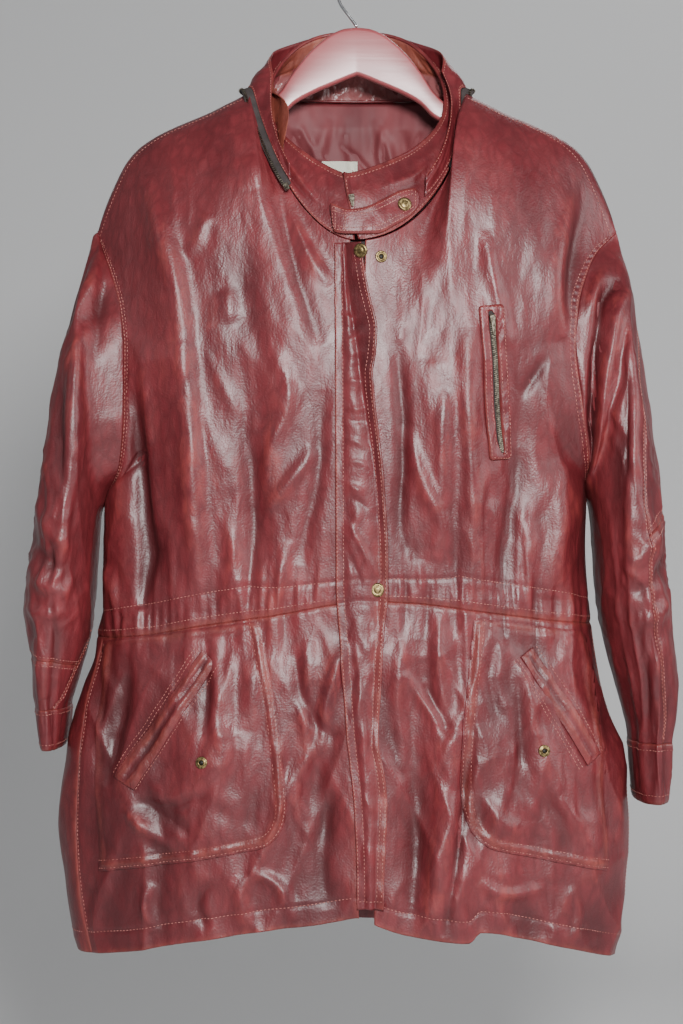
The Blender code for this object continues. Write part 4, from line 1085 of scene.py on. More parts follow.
for across in BACK_ARMHOLE_ROWS:
    sew(skin(BACK, *spread(across, beside_armhole), back_relief))


# ================================================================ Zip and flap
# A two-way metal zip closes the fronts, on dark woven tape. A storm flap of the same leather is sewn to
# the right front with two rows, and hangs free over the zip; its free half turns away towards the zip,
# and its upper part there is painted darker, as shade.
def woven_tape(name, color, rib_scale):
    material, tree, shader = new_material(name, 0.75)
    ribs, dust = waves(tree, rib_scale, 1.2), noise(tree, (60, 60, 60), 4.0)
    tint = ramp(tree, dust, (0.35, color), (0.75, tuple(1.9 * c for c in color)))
    finish_surface(tree, shader, tint, bump=(ribs, 0.5, 0.0003))
    return material


dark_tape = woven_tape("dark_zip_tape", (0.030, 0.022, 0.021), 900.0)


def tape_relief(x, z, across, share):
    return 0.0002 * soft_noise(x / 0.01, z / 0.03, 80)


across, share = crossed(np.linspace(-0.026, 0.030, 13), np.linspace(0.004, 1.925, 330))
drift = OPENING_DRIFT * np.maximum(share - 1, 0) * np.maximum(1 - np.abs(across), 0) ** 3
sewn_sheet("front_zip_tape", skin(FRONT, across + drift, share, tape_relief, -0.0020), ["front_zip"],
           cover=dark_tape, slot="zip_tape", thickness=0.0009)


FLAP = {
    # x of the flap's seam and of its free edge, at shares of the way down
    "down": (0.0, 0.03, 0.065, 0.10, 0.135, 0.17, 0.20, 0.245, 0.31, 0.39, 0.48, 0.52, 0.60, 0.69, 0.75, 0.80,
             0.845, 0.93, 1.0),
    "seam_x": (-0.0230, -0.0230, -0.0230, -0.0230, -0.0229, -0.0228, -0.0227, -0.0226, -0.0224, -0.0222,
               -0.0220, -0.0218, -0.0180, -0.0135, -0.0105, -0.0068, -0.0038, -0.0015, -0.0008),
    "edge_x": (0.0020, 0.0046, 0.0080, 0.0135, 0.0185, 0.0168, 0.0140, 0.0165, 0.0220, 0.0270, 0.0300,
               0.0300, 0.0255, 0.0222, 0.0205, 0.0262, 0.0290, 0.0265, 0.0250),
    # x where the flap turns up off the front, and how far its edge stands off there
    "turn_x": (-0.0125, -0.0120, -0.0105, -0.0070, -0.0030, 0.0005, 0.0030, 0.0070, 0.0140, 0.0200, 0.0220,
               0.0215, 0.0180, 0.0150, 0.0140, 0.0180, 0.0200, 0.0180, 0.0170),
    "rise": (0.0150, 0.0160, 0.0160, 0.0165, 0.0165, 0.0150, 0.0120, 0.0100, 0.0070, 0.0046, 0.0036,
             0.0030, 0.0026, 0.0024, 0.0024, 0.0024, 0.0024, 0.0024, 0.0024),
}
FLAP_TOP, FLAP_BOTTOM, FLAP_OFF = -0.3025, -0.967, 0.0028
FLAP_CREASES = (
    # in millimetres: half width, rise, then points (x, z)
    (3, 1.4, (-16, -372), (-6, -380), (4, -379)),
    (2.8, -1.2, (-14, -386), (-4, -391), (6, -386)),
    (2.8, 1.4, (-15, -401), (-5, -400), (6, -394)),
    (2.6, 1.2, (-10, -418), (0, -413), (9, -415)),
    (2.6, -1, (-14, -430), (-2, -428), (8, -424)),
    (2.8, 1.3, (-13, -444), (-2, -441), (10, -446)),
    (2.8, 1.4, (-15, -466), (-2, -470), (12, -466)),
    (2.6, -1.1, (-12, -480), (2, -482), (15, -478)),
    (3, 1.5, (-14, -498), (1, -503), (15, -512)),
    (2.8, 1.3, (-12, -525), (0, -521), (12, -528)),
    (2.6, 1.6, (-12, -541), (-4, -548), (4, -552)),
    (2.6, -1.3, (-10, -556), (0, -560), (10, -570)),
    (3.4, 2.4, (-9, -582), (3, -604), (17, -636)),
    (3, -1.8, (-12, -604), (-4, -624), (5, -648)),
    (3, 1.4, (12, -664), (18, -690), (12, -720)),
    (3, 1.4, (-4, -700), (2, -740), (0, -780)),
    (3, -1.4, (8, -760), (12, -800), (10, -840)),
    (2.8, 1.2, (4, -850), (12, -866), (20, -876)),
    (3, 1.4, (4, -896), (6, -920), (4, -950)),
)


def read_flap(down, *columns):
    return (read_table(FLAP, "down", column, down) for column in columns)


def flap_skin(across, down):
    """The flap from its seam (0) to its free edge (1), with painted shade on the upper part of its turned
    half.
    """
    across, down = spread(across, down)
    z = FLAP_TOP + (FLAP_BOTTOM - FLAP_TOP) * down
    seam, edge, turn, rise = read_flap(down, "seam_x", "edge_x", "turn_x", "rise")
    x = seam + (edge - seam) * across
    base, _, normals = front_at(x, z)
    at_turn = (turn - seam) / (edge - seam)
    belly = 0.0034 * np.sin(np.pi * limited((x - seam - 0.008) / (turn - seam - 0.008)))
    stand = belly + rise * limited((across - at_turn) / (1 - at_turn)) ** 0.8
    relief = crease_height(FLAP_CREASES, x, z) * limited(across * 6)
    relief += 0.0005 * soft_noise(x / 0.009, z / 0.012, 90)
    relief -= 0.0008 * hump(x - seam - 0.0045, 0.0040)
    wave = 0.0012 * soft_noise(0.5, z / 0.020, 91) * across**2
    off = np.maximum(FLAP_OFF + stand + relief + wave, 0.0026)
    # Painted shade: the turned half is marked below its creases down to about half way, so the leather's
    # colour darkens there.
    relief_and_painted_shade = relief - 0.0035 * limited((across - at_turn) / 0.12) * limited((0.60 - down) / 0.1)
    return base + normals * off[..., None], relief_and_painted_shade, normals


across, down = crossed(np.linspace(0, 1, 27), np.linspace(0, 1, 331))
flap_points, flap_relief_and_painted_shade, flap_fronts = flap_skin(across, down)
flap_normals = unit(np.cross(np.gradient(flap_points, axis=0), np.gradient(flap_points, axis=1)))
flap_normals *= np.where((flap_normals * flap_fronts).sum() < 0, -1, 1)
low_edge = limited((down - 0.42) / 0.06) * hump(1 - across, 0.22)
edge_wear = np.maximum(hump(1 - across, 0.05), 0.9 * low_edge)
edge_wear = np.maximum(edge_wear, hump(across, 0.06))
sewn_sheet("front_storm_flap", (flap_points, flap_relief_and_painted_shade, flap_normals), ["front_flap"], edge_wear)
down = np.linspace(0.012, 0.985, 330)
seam, edge = read_flap(down, "seam_x", "edge_x")
for from_seam in (0.0014, 0.0078):
    sew(flap_skin(from_seam / (edge - seam), down))
for from_edge in (0.0022, 0.0068):
    sew(flap_skin(1 - from_edge / (edge - seam), down))
sew(flap_skin(np.linspace(0.05, 0.95, 30), 0.988))


# ================================================================ Hand pockets
# A gusseted leather patch on each lower front, sewn with two rows, with a slanting bound opening, and
# the socket of a snap. The other half of each snap is left inside the opening, as worn.
POCKETS = {
    # the corners (x, z) of each patch, from the top of its inner edge round to the top of its outer one
    RIGHT: ((-0.0985, -0.677), (-0.0827, -0.760), (-0.0747, -0.820), (-0.0707, -0.862), (-0.0725, -0.881),
            (-0.0790, -0.895), (-0.0880, -0.9035), (-0.1000, -0.9085), (-0.163, -0.9205), (-0.230, -0.9316),
            (-0.2655, -0.9372), (-0.2740, -0.860), (-0.2740, -0.790), (-0.262, -0.700), (-0.160, -0.685)),
    LEFT: ((0.1173, -0.674), (0.1143, -0.700), (0.1053, -0.780), (0.1023, -0.840), (0.1040, -0.862),
           (0.1085, -0.878), (0.1140, -0.890), (0.1220, -0.901), (0.1310, -0.9075), (0.1400, -0.911),
           (0.2056, -0.9260), (0.2620, -0.9390), (0.2560, -0.860), (0.2500, -0.790), (0.234, -0.690),
           (0.170, -0.681)),
}
POCKET_WELTS = {
    # two corners at the upper end of each bound opening, and two at its lower end
    RIGHT: ((-0.1554, -0.7107), (-0.1423, -0.7248), (-0.2227, -0.8520), (-0.2448, -0.8400)),
    LEFT: ((0.1640, -0.7180), (0.1770, -0.7087), (0.2440, -0.8180), (0.2310, -0.8290)),
}
POCKET_CREASES = (
    # in millimetres: half width, rise, then points (x, z)
    (8, 4.8, (-136, -664), (-142, -700), (-141, -780), (-134, -812), (-150, -846)),
    (6, -4.4, (-148, -700), (-150, -780), (-158, -830)),
    (6, -3.6, (-150, -852), (-180, -866), (-206, -870)),
    (6, -4, (-222, -862), (-190, -874), (-160, -900)),
    (6, 4, (-234, -870), (-210, -892), (-180, -912)),
    (8, 4.6, (150, -700), (172, -760), (180, -830), (176, -880)),
    (6, -4.2, (160, -740), (162, -810), (150, -880)),
    (7, 4.2, (200, -860), (222, -888), (232, -920)),
    (6, -3.8, (188, -850), (204, -890), (206, -920)),
    (9, 3.2, (-98, -700), (-104, -740), (-110, -790)),
    (8, 2.8, (-120, -706), (-130, -750), (-134, -800)),
    (10, -2.4, (-150, -860), (-120, -880), (-95, -878)),
    (9, 2.6, (-230, -880), (-190, -896), (-140, -896)),
    (7, 2.6, (-236, -720), (-240, -760), (-252, -800)),
    (8, 3, (122, -692), (124, -730), (120, -780)),
    (8, 2.6, (146, -696), (142, -740), (150, -790)),
    (9, 2.8, (126, -860), (150, -886), (190, -896)),
    (9, -2.2, (150, -830), (176, -860), (210, -880)),
    (7, 2.4, (204, -700), (216, -740), (232, -780)),
)


def outline_distance(corners, x, z):
    """How far the points (x, z) are from an outline."""
    least = np.full(x.shape, 1.0)
    for (x0, z0), (x1, z1) in zip(corners, (*corners[1:], corners[0])):
        run_x, run_z = x1 - x0, z1 - z0
        along = limited(((x - x0) * run_x + (z - z0) * run_z) / (run_x**2 + run_z**2))
        least = np.minimum(least, np.hypot(x - x0 - along * run_x, z - z0 - along * run_z))
    return least


def outline_sheet(corners, spacing):
    """A flat net of squares inside a convex outline: (x, z, faces)."""
    low, high = np.min(corners, axis=0), np.max(corners, axis=0)
    columns, rows = (int((high[k] - low[k]) / spacing) + 2 for k in (0, 1))
    net = bmesh.new()
    bmesh.ops.create_grid(net, x_segments=columns, y_segments=rows, size=0.5)
    middle, size = (low + high) / 2, (high - low) + spacing
    for vertex in net.verts:
        vertex.co = (middle[0] + vertex.co.x * size[0], 0, middle[1] + vertex.co.y * size[1])
    centre = np.mean(corners, axis=0)
    for start, end in zip(corners, (*corners[1:], corners[0])):
        out = Vector((end[1] - start[1], 0, start[0] - end[0]))
        if out.dot(Vector((centre[0] - start[0], 0, centre[1] - start[1]))) > 0:
            out = -out
        bmesh.ops.bisect_plane(net, geom=[*net.verts, *net.edges, *net.faces], dist=1e-6, clear_outer=True,
                               plane_co=(start[0], 0, start[1]), plane_no=out)
    net.verts.index_update()
    x, z = np.array([(v.co.x, v.co.z) for v in net.verts]).T
    faces = [tuple(v.index for v in f.verts) for f in net.faces]
    net.free()
    return x, z, faces


ROWS_FROM_EDGE = (0.0028, 0.0108)


def patch_height(corners, x, z, level, thickness, extra_relief, puff, tucked):
    """Height of a patch over the front's skin, depth inside the patch's outline, and its own relief."""
    (x0, top0), (x1, top1), (x2, top2) = corners[0], corners[-1], corners[-2]
    top = np.interp(np.abs(x), np.abs((x0, x1, x2)), (top0, top1, top2))
    side = np.abs(corners[:, 0]).max()
    # A tucked patch goes down into the side seam and the waist seam.
    tuck = limited((side - np.abs(x)) / 0.016) * limited((top - z) / 0.012) if tucked else 1.0 + 0 * x
    inset = outline_distance(corners, x, z)
    extra = extra_relief(x, z) * limited(inset / 0.020)
    rounding = 0.6 * thickness * hump(inset, 0.0022)
    rows = 0.0009 * sum(hump(inset - row, 0.0014) for row in ROWS_FROM_EDGE)
    swell = puff * (1 - hump(inset, 0.034))
    if tucked:
        puckers = 0.0005 * np.sin((x + 1.3 * z) / 0.0078 * 2 * np.pi)
        swell = swell + hump(inset - sum(ROWS_FROM_EDGE) / 2, 0.0032) * (0.0010 + puckers)
    height = np.maximum(level + thickness + extra + swell - rounding - rows, level + 0.3 * thickness)
    return height * tuck - 0.0012 * (1 - tuck), inset, extra * tuck


def patch_sheet(name, corners, form, nodes, spacing):
    """A leather patch on the fronts. form is what patch_height asks for, from level to tucked."""
    x, z, faces = outline_sheet(corners, spacing)
    base, relief, normals = front_at(x, z)
    height, inset, extra = patch_height(corners, x, z, *form)
    outer = base + normals * height[:, None]
    inner = base + normals * np.minimum(form[0], height - 0.0004)[:, None]
    edges = {(a, b) for face in faces for a, b in zip(face, (*face[1:], face[0]))}
    count = len(x)
    walls = [(b, a, a + count, b + count) for a, b in sorted(edges) if (b, a) not in edges]
    both = [*faces, *(tuple(i + count for i in reversed(face)) for face in faces), *walls]
    seam = hump(inset - 0.006, 0.0055) * limited(height / 0.0020) * limited(1 + extra / 0.001)
    # The patch's relief goes into the colour as well: its troughs and the binding's slit get painted shade.
    marks = leather_marks(2 * count, relief + extra, seam)
    piece = make_piece(name, np.concatenate([outer, inner]), both, leather, "leather", marks)
    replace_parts(piece, *nodes)
    edge_runs = np.roll(corners, -1, axis=0) - corners
    longest = unit(edge_runs[np.argmax(np.linalg.norm(edge_runs, axis=1))])
    # The puffed leather is a little longer than its outline, in both directions.
    length, width = (1.04 * np.ptp(corners @ way) for way in (longest, (-longest[1], longest[0])))
    area = abs(np.dot(corners[:, 0], np.roll(corners[:, 1], 1) - np.roll(corners[:, 1], -1))) / 2
    area = float(np.clip(1.06 * area, 0.31 * width * length, 0.999 * width * length))


def pocket_relief(x, z):
    return (crease_height(POCKET_CREASES, x, z) + 0.0013 * soft_noise(x / 0.024, z / 0.045, 110)
            + 0.0009 * (0.5 - np.abs(soft_noise(x / 0.015, z / 0.030, 111))))


def welt_relief(x, z):
    """Fine wrinkles across the two lips of the binding, and the slit between them."""
    along = (z * 0.84 - np.abs(x) * 0.54) / 0.0075
    relief = 0.0014 * (0.5 - np.abs(soft_noise(along, np.abs(x) / 0.020, 112)))
    relief += 0.0006 * soft_noise(along * 0.4, 0.5, 113)
    for side in (RIGHT, LEFT):
        corners = np.array(POCKET_WELTS[side])
        top, bottom = corners[:2].mean(axis=0), corners[2:].mean(axis=0)
        ahead = unit(bottom - top)
        aside = (x - top[0]) * ahead[1] - (z - top[1]) * ahead[0]
        # The slit is cut in, and the same depth paints it dark as shade.
        relief = relief - 0.0070 * hump(aside, 0.0022) * (np.sign(x) == side)
    return relief


POCKET_PUFF, PATCH_THICKNESS, PATCH_LEVEL = 0.0032, 0.0016, 0.0004
POCKET_FORM = (PATCH_LEVEL, PATCH_THICKNESS, pocket_relief, POCKET_PUFF, True)
WELT_FORM = (PATCH_LEVEL + PATCH_THICKNESS + 0.7 * POCKET_PUFF, 0.0030, welt_relief, 0.0, False)
# The patch's edge is sewn from the waist down and along its foot; the rest is caught in the side seam.
SEWN_CORNERS = {RIGHT: 11, LEFT: 12}
for side, side_name in SIDE_NAMES.items():
    outline, welt = np.array(POCKETS[side]), np.array(POCKET_WELTS[side])
    patch_sheet(f"pocket_{side_name}_patch", outline, POCKET_FORM, [f"pocket_{side_name}"], 0.0022)
    patch_sheet(f"pocket_{side_name}_binding", welt, WELT_FORM, [f"pocket_{side_name}_welt"], 0.0016)
    top, bottom = (welt[0] + welt[1]) / 2, (welt[2] + welt[3]) / 2
    # The edge has two rows, and the opening has two on one side and one on the other.
    for part, offsets in (
        (outline[:SEWN_CORNERS[side]], [side * row for row in ROWS_FROM_EDGE]),
        ((top, (top + bottom) / 2, bottom), (-0.0165, -0.0128, 0.0128)),
    ):
        for offset in offsets:
            x, z = beside(smooth_path(part, 0.003), offset).T
            base, _, normals = front_at(x, z)
            height = patch_height(outline, x, z, *POCKET_FORM)[0]
            sew((base + normals * height[:, None], None, normals))


# ================================================================ Chest pocket
# A slanting zip pocket on the left breast: a padded leather frame sewn round a slot, dark zip tape with
# metal teeth inside it, and a slider with a small pull, parked near the top.
CHEST_WELT = ((0.1203, -0.366), (0.1453, -0.364), (0.1563, -0.518), (0.1323, -0.521))
CHEST_SLOT = ((0.1302, -0.371), (0.1360, -0.371), (0.1474, -0.513), (0.1416, -0.513))
CHEST_LEVEL, CHEST_PUFF = 0.0010, 0.0026
RING_POINTS = 200


def walk_outline(corners, count, rounding):
    """Points at an even pitch round an outline with rounded corners, from the middle of its first edge."""
    corners = np.array(corners)
    path = []
    for before, corner, after in zip(np.roll(corners, 1, axis=0), corners, np.roll(corners, -1, axis=0)):
        start, end = corner + rounding * unit(before - corner), corner + rounding * unit(after - corner)
        s = np.linspace(0, 1, 7)[:, None]
        path.append((1 - s) ** 2 * start + 2 * s * (1 - s) * corner + s**2 * end)
    path = np.vstack([*path, path[0][:1]])
    lengths = lengths_along(path)
    return read_line(path, lengths, np.linspace(0, lengths[-1], count, endpoint=False))


slot_ring = walk_outline(CHEST_SLOT, RING_POINTS, 0.002)
welt_ring = walk_outline(CHEST_WELT, RING_POINTS, 0.004)
share = np.linspace(0, 1, 11)
ring_points = slot_ring[:, None] + (welt_ring - slot_ring)[:, None] * share[None, :, None]
base, _, normals = front_at(ring_points[..., 0], ring_points[..., 1])
dome = limited(1 - (2 * share - 1) ** 4) ** 0.5
puckers = 0.0006 * soft_noise(np.arange(RING_POINTS) / 5.0, 0.5, 130)[:, None] * dome
height = CHEST_LEVEL + CHEST_PUFF * dome + puckers
edge_wear = hump(share, 0.10) + hump(1 - share, 0.10) + 0 * height
sewn_sheet("chest_pocket_frame", (base + normals * height[..., None], 0.001 * dome + puckers, normals),
           ["chest_welt"], edge_wear, thickness=0.0009, closed=True)
for place in (0.28, 0.86):
    line = slot_ring + (welt_ring - slot_ring) * place
    line = np.vstack([line, line[:1]])
    sew(front_at(line[:, 0], line[:, 1], CHEST_LEVEL + CHEST_PUFF * 0.93))

slot = np.array(CHEST_SLOT)
across, down = crossed(np.linspace(-0.35, 1.35, 9), np.linspace(-0.02, 1.02, 70))
top_line, bottom_line = (slot[a] + (slot[b] - slot[a]) * across[..., None] for a, b in ((0, 1), (3, 2)))
tape_places = top_line + (bottom_line - top_line) * down[..., None]
base, relief, normals = front_at(tape_places[..., 0], tape_places[..., 1])
tape_points = base + normals * (0.0008 + 0.0003 * np.sin(np.pi * limited(across)))[..., None]
sewn_sheet("chest_zip_strip", (tape_points, 0 * relief, normals), ["chest_zip_tape"], cover=dark_tape,
           slot="zip_tape", thickness=0.0006)


# ================================================================ Sleeves and cuffs
# Two-piece leather sleeves, set in at the armholes, with an inner and an outer piece, a seam across the
# outer one at the elbow, and a plain sewn cuff band. They hang empty, pressed flat by their weight.
SLEEVES = {
    # ten rings down each sleeve: its outer line, its inner line, and half its depth
    RIGHT: {
        "outer_x": (0.281, 0.293, 0.307, 0.319, 0.330, 0.3395, 0.3438, 0.340, 0.3365, 0.3335),
        "outer_z": (-0.312, -0.356, -0.410, -0.478, -0.548, -0.615, -0.674, -0.718, -0.757, -0.7735),
        "inner_x": (0.2665, 0.269, 0.270, 0.271, 0.2725, 0.2745, 0.278, 0.287, 0.2965, 0.3005),
        "inner_z": (-0.570, -0.580, -0.594, -0.613, -0.638, -0.668, -0.700, -0.730, -0.760, -0.7735),
        "half_depth": (0.066, 0.080, 0.088, 0.090, 0.088, 0.083, 0.076, 0.069, 0.062, 0.060),
    },
    LEFT: {
        "outer_x": (0.280, 0.2875, 0.2955, 0.306, 0.3187, 0.3225, 0.329, 0.3335, 0.332, 0.328),
        "outer_z": (-0.314, -0.358, -0.412, -0.480, -0.570, -0.624, -0.685, -0.738, -0.780, -0.808),
        "inner_x": (0.2435, 0.2455, 0.2465, 0.2475, 0.249, 0.2515, 0.257, 0.269, 0.2800, 0.2835),
        "inner_z": (-0.560, -0.571, -0.586, -0.607, -0.638, -0.670, -0.705, -0.748, -0.785, -0.808),
        "half_depth": (0.064, 0.078, 0.086, 0.089, 0.088, 0.085, 0.079, 0.072, 0.066, 0.062),
    },
}
CUFF_ENDS = {
    # outer x, outer z, inner x, inner z, half depth at the open end
    RIGHT: (0.3275, -0.8155, 0.3060, -0.8155, 0.056),
    LEFT: (0.3225, -0.870, 0.2890, -0.870, 0.058),
}
SLEEVE_RINGS, SHOULDER_STEP = 10, 0.1041
# Steps go round a sleeve: 0 is its outer line, HALF_ROUND faces the body, and ROUND is the outer line again.
HALF_ROUND, ROUND, BACK_SEAM = 8, 16, 11
ELBOW_RING, SEAM_SHOWS = {RIGHT: 8, LEFT: 5}, {RIGHT: 6.8, LEFT: 1.9}
SLEEVE_CREASES = {
    # in millimetres: half width, rise, then points (x, z)
    RIGHT: (
        (8, 3.6, (-252, -262), (-266, -300), (-272, -350)),
        (7, -3.4, (-262, -300), (-262, -360), (-268, -420)),
        (8, 3.8, (-280, -380), (-286, -450), (-284, -520)),
        (7, -3.2, (-300, -420), (-300, -500), (-294, -560)),
        (8, 4, (-326, -560), (-306, -596), (-284, -612)),
        (7, -3.6, (-334, -596), (-312, -622), (-284, -634)),
        (7, 3.6, (-336, -622), (-316, -646), (-286, -652)),
        (6, 3, (-340, -668), (-318, -676), (-290, -672)),
        (7, -3, (-310, -664), (-304, -700), (-306, -740)),
        (7, 3.2, (-330, -700), (-322, -730), (-318, -762)),
    ),
    LEFT: (
        (5, -9, (270, -334), (251, -354), (244.5, -388)),
        (4.5, -13, (245, -380), (240.5, -425), (238.5, -470), (236, -520), (233, -556)),
        (7, 7, (280, -342), (264, -372), (256, -420), (254, -480)),
        (6, 4, (258, -322), (244, -340), (236, -372)),
        (6, 6, (250, -410), (248, -450), (245, -500), (240, -550)),
        (7, 5.6, (268, -446), (253, -490), (245, -540), (240, -600)),
        (6, -5.6, (274, -424), (269, -490), (262, -560)),
        (7, 3.8, (276, -440), (276, -490), (282, -540)),
        (7, -3.2, (262, -470), (258, -540), (264, -610)),
        (8, 4, (310, -580), (290, -612), (266, -630)),
        (7, -3.6, (318, -612), (296, -644), (268, -656)),
        (7, 3.6, (322, -650), (304, -676), (272, -684)),
        (7, 3.2, (310, -700), (300, -740), (304, -790)),
        (6, -2.8, (290, -716), (292, -756), (290, -796)),
    ),
}


def sleeve_ring(side, step, number):
    """Points of a whole ring. Ring 0 is the armhole; the ring past the last one is the cuff's open end."""
    step = np.mod(step, ROUND)
    if number <= 0:
        in_front = (step <= HALF_ROUND)[..., None]
        down = np.minimum(step, ROUND - step)
        share = UNDERARM * (1 - np.cos(np.pi * down / HALF_ROUND)) / 2
        place = side * (1 + SHOULDER_STEP * number) + 0 * share
        ring = np.where(in_front, coat_surface(FRONT, place, share), coat_surface(BACK, place, share))
        if number == 0:
            return ring
        # Below the shoulder the armhole seam is a fold that turns inwards.
        folded = limited((share - 0.30) / 0.15)[..., None]
        mirrored = 2 * sleeve_ring(side, step, 0) - sleeve_ring(side, step, 1)
        return ring + (mirrored - ring) * folded
    ends = [column[min(number, SLEEVE_RINGS) - 1] for column in SLEEVES[side].values()]
    past = max(number - SLEEVE_RINGS, 0)
    moved = [a + (b - a) * past for a, b in zip(ends, CUFF_ENDS[side])]
    outer_x, outer_z, inner_x, inner_z, half_depth = moved
    angle = np.pi * step / HALF_ROUND
    towards = (1 - np.cos(angle)) / 2
    x = outer_x + (inner_x - outer_x) * towards
    return np.stack([side * x, -half_depth * np.sin(angle), outer_z + (inner_z - outer_z) * towards], axis=-1)


def sleeve_surface(side, step, ring):
    """The smooth outer surface of a sleeve between its rings."""
    step, ring = spread(step, ring)
    low = np.clip(np.floor(ring), 0, SLEEVE_RINGS).astype(int)
    points = np.empty((*step.shape, 3))
    for number in np.unique(low):
        here = low == number
        s = (ring[here] - number)[..., None]
        before, start, end, after = (sleeve_ring(side, step[here], number + k) for k in (-1, 0, 1, 2))
        over, fall = 0.5 * (end - before), 0.5 * (after - start)
        points[here] = (
            (2 * s**3 - 3 * s**2 + 1) * start + (s**3 - 2 * s**2 + s) * over
            + (3 * s**2 - 2 * s**3) * end + (s**3 - s**2) * fall
        )
    return points


def seam_step(side, ring):
    """Where the front seam runs: the right one comes from the body's side low down, the left from outside."""
    if side == RIGHT:
        return np.interp(ring, (0, 7.0, 10), (8.0, 7.7, 5.4))
    return np.interp(ring, (0, 1.9, 3.2, 4.6, 10), (-0.3, -0.3, 2.2, 3.4, 3.2))


def seam_shown(side, ring):
    """0 where a sleeve's long seams are hidden near the armhole, and 1 below."""
    return limited((ring - SEAM_SHOWS[side]) * 4)


def sleeve_skin(side, step, ring, level=0.0):
    """Points of a sleeve's creased leather, the height of its creases, and the way it faces."""
    step, ring = spread(step, ring)
    base = sleeve_surface(side, step, ring)
    around = sleeve_surface(side, step + 0.1, ring) - sleeve_surface(side, step - 0.1, ring)
    along = sleeve_surface(side, step, ring + 0.05) - sleeve_surface(side, step, np.maximum(ring - 0.05, 0))
    normals = unit(np.cross(around, along)) * side
    x, z = base[..., 0], base[..., 2]
    # The way round the sleeve, from the middle of its back, where the ripples start and end.
    arc = 0.030 * (np.mod(step + 4, ROUND) - 4)
    ripples = hanging_ripples(arc, z, 60 if side == RIGHT else 64)
    slanting = 0.5 - np.abs(soft_noise((arc + 0.6 * z) / 0.05, (z - 0.4 * arc) / 0.020, 66))
    relief = 1.2 * crease_height(SLEEVE_CREASES[side], x, z) + ripples
    relief = relief + 0.0022 * hump(ring - 5.6, 1.6) * slanting
    calm_inside = 0.35 + 0.65 * limited(np.abs(np.mod(step, ROUND) - HALF_ROUND) / 3)
    relief *= calm_inside * limited(ring * 5) ** 0.6 * np.clip((SLEEVE_RINGS + 1 - ring) * 2.5, 0.25, 1)
    # The seams press the leather in: the elbow seam on the outer piece, and the two long ones.
    from_back = ROUND - BACK_SEAM
    on_outer = np.mod(step + from_back, ROUND) < from_back + seam_step(side, ring)
    relief -= 0.0010 * on_outer * hump(ring - ELBOW_RING[side], 0.10)
    for seam in (seam_step(side, ring), BACK_SEAM):
        relief -= 0.0009 * seam_shown(side, ring) * hump(np.mod(step, ROUND) - seam, 0.16)
    return base + normals * (relief + level)[..., None], relief, normals


for side, side_name in SIDE_NAMES.items():
    elbow = ELBOW_RING[side]
    for part, start, columns, rings in (
        ("inner", BACK_SEAM, 84, (0.0, SLEEVE_RINGS, 170)),
        ("outer", BACK_SEAM - ROUND, 118, (0.0, elbow, 150 if side == RIGHT else 110)),
        ("lower", BACK_SEAM - ROUND, 118, (elbow, SLEEVE_RINGS, 44 if side == RIGHT else 84)),
    ):
        share, ring = crossed(np.linspace(0, 1, columns), even_steps(*rings))
        seam = seam_step(side, ring)
        step = seam + (start - seam) * share if part == "inner" else start + (seam - start) * share
        to_edge = np.minimum(np.abs(step - seam), np.abs(step - start)) * 0.030
        if part != "inner":
            to_edge = np.minimum(to_edge, np.abs(ring - elbow) * 0.05)
        sewn_sheet(f"sleeve_{side_name}_{part}_piece", sleeve_skin(side, step, ring),
                   [f"sleeve_{side_name}_{part}"], seam_shown(side, ring) * hump(to_edge, 0.004))
    step, ring = crossed(np.arange(0, ROUND, ROUND / 150), np.linspace(SLEEVE_RINGS, SLEEVE_RINGS + 1, 19))
    edge = np.minimum(ring - SLEEVE_RINGS, SLEEVE_RINGS + 1 - ring)
    cuff_points, relief, normals = sleeve_skin(side, step, ring, 0.0010)
    cuff_points = cuff_points - normals * (0.0009 * hump(edge, 0.04))[..., None]
    sewn_sheet(f"cuff_{side_name}_band", (cuff_points, relief, normals), [f"cuff_{side_name}"],
               hump(edge, 0.06), thickness=0.0026, closed=True)
    # Two rows round the cuff, one each side of the front seam, one by the back seam, and two at the elbow.
    around, tall = np.linspace(0, ROUND, 220), np.linspace(SEAM_SHOWS[side], SLEEVE_RINGS - 0.1, 240)
    front_seam = seam_step(side, tall)
    over_elbow = np.linspace(BACK_SEAM - ROUND + 0.1, seam_step(side, elbow), 120)
    for line_steps, line_rings, level in (
        (around, SLEEVE_RINGS + 0.14, 0.0012), (around, SLEEVE_RINGS + 0.86, 0.0012),
        (front_seam + 0.14, tall, 0.0), (front_seam - 0.14, tall, 0.0), (BACK_SEAM + 0.14, tall, 0.0),
        (over_elbow, elbow - 0.12, 0.0), (over_elbow, elbow + 0.12, 0.0),
    ):
        sew(sleeve_skin(side, line_steps, line_rings, level))


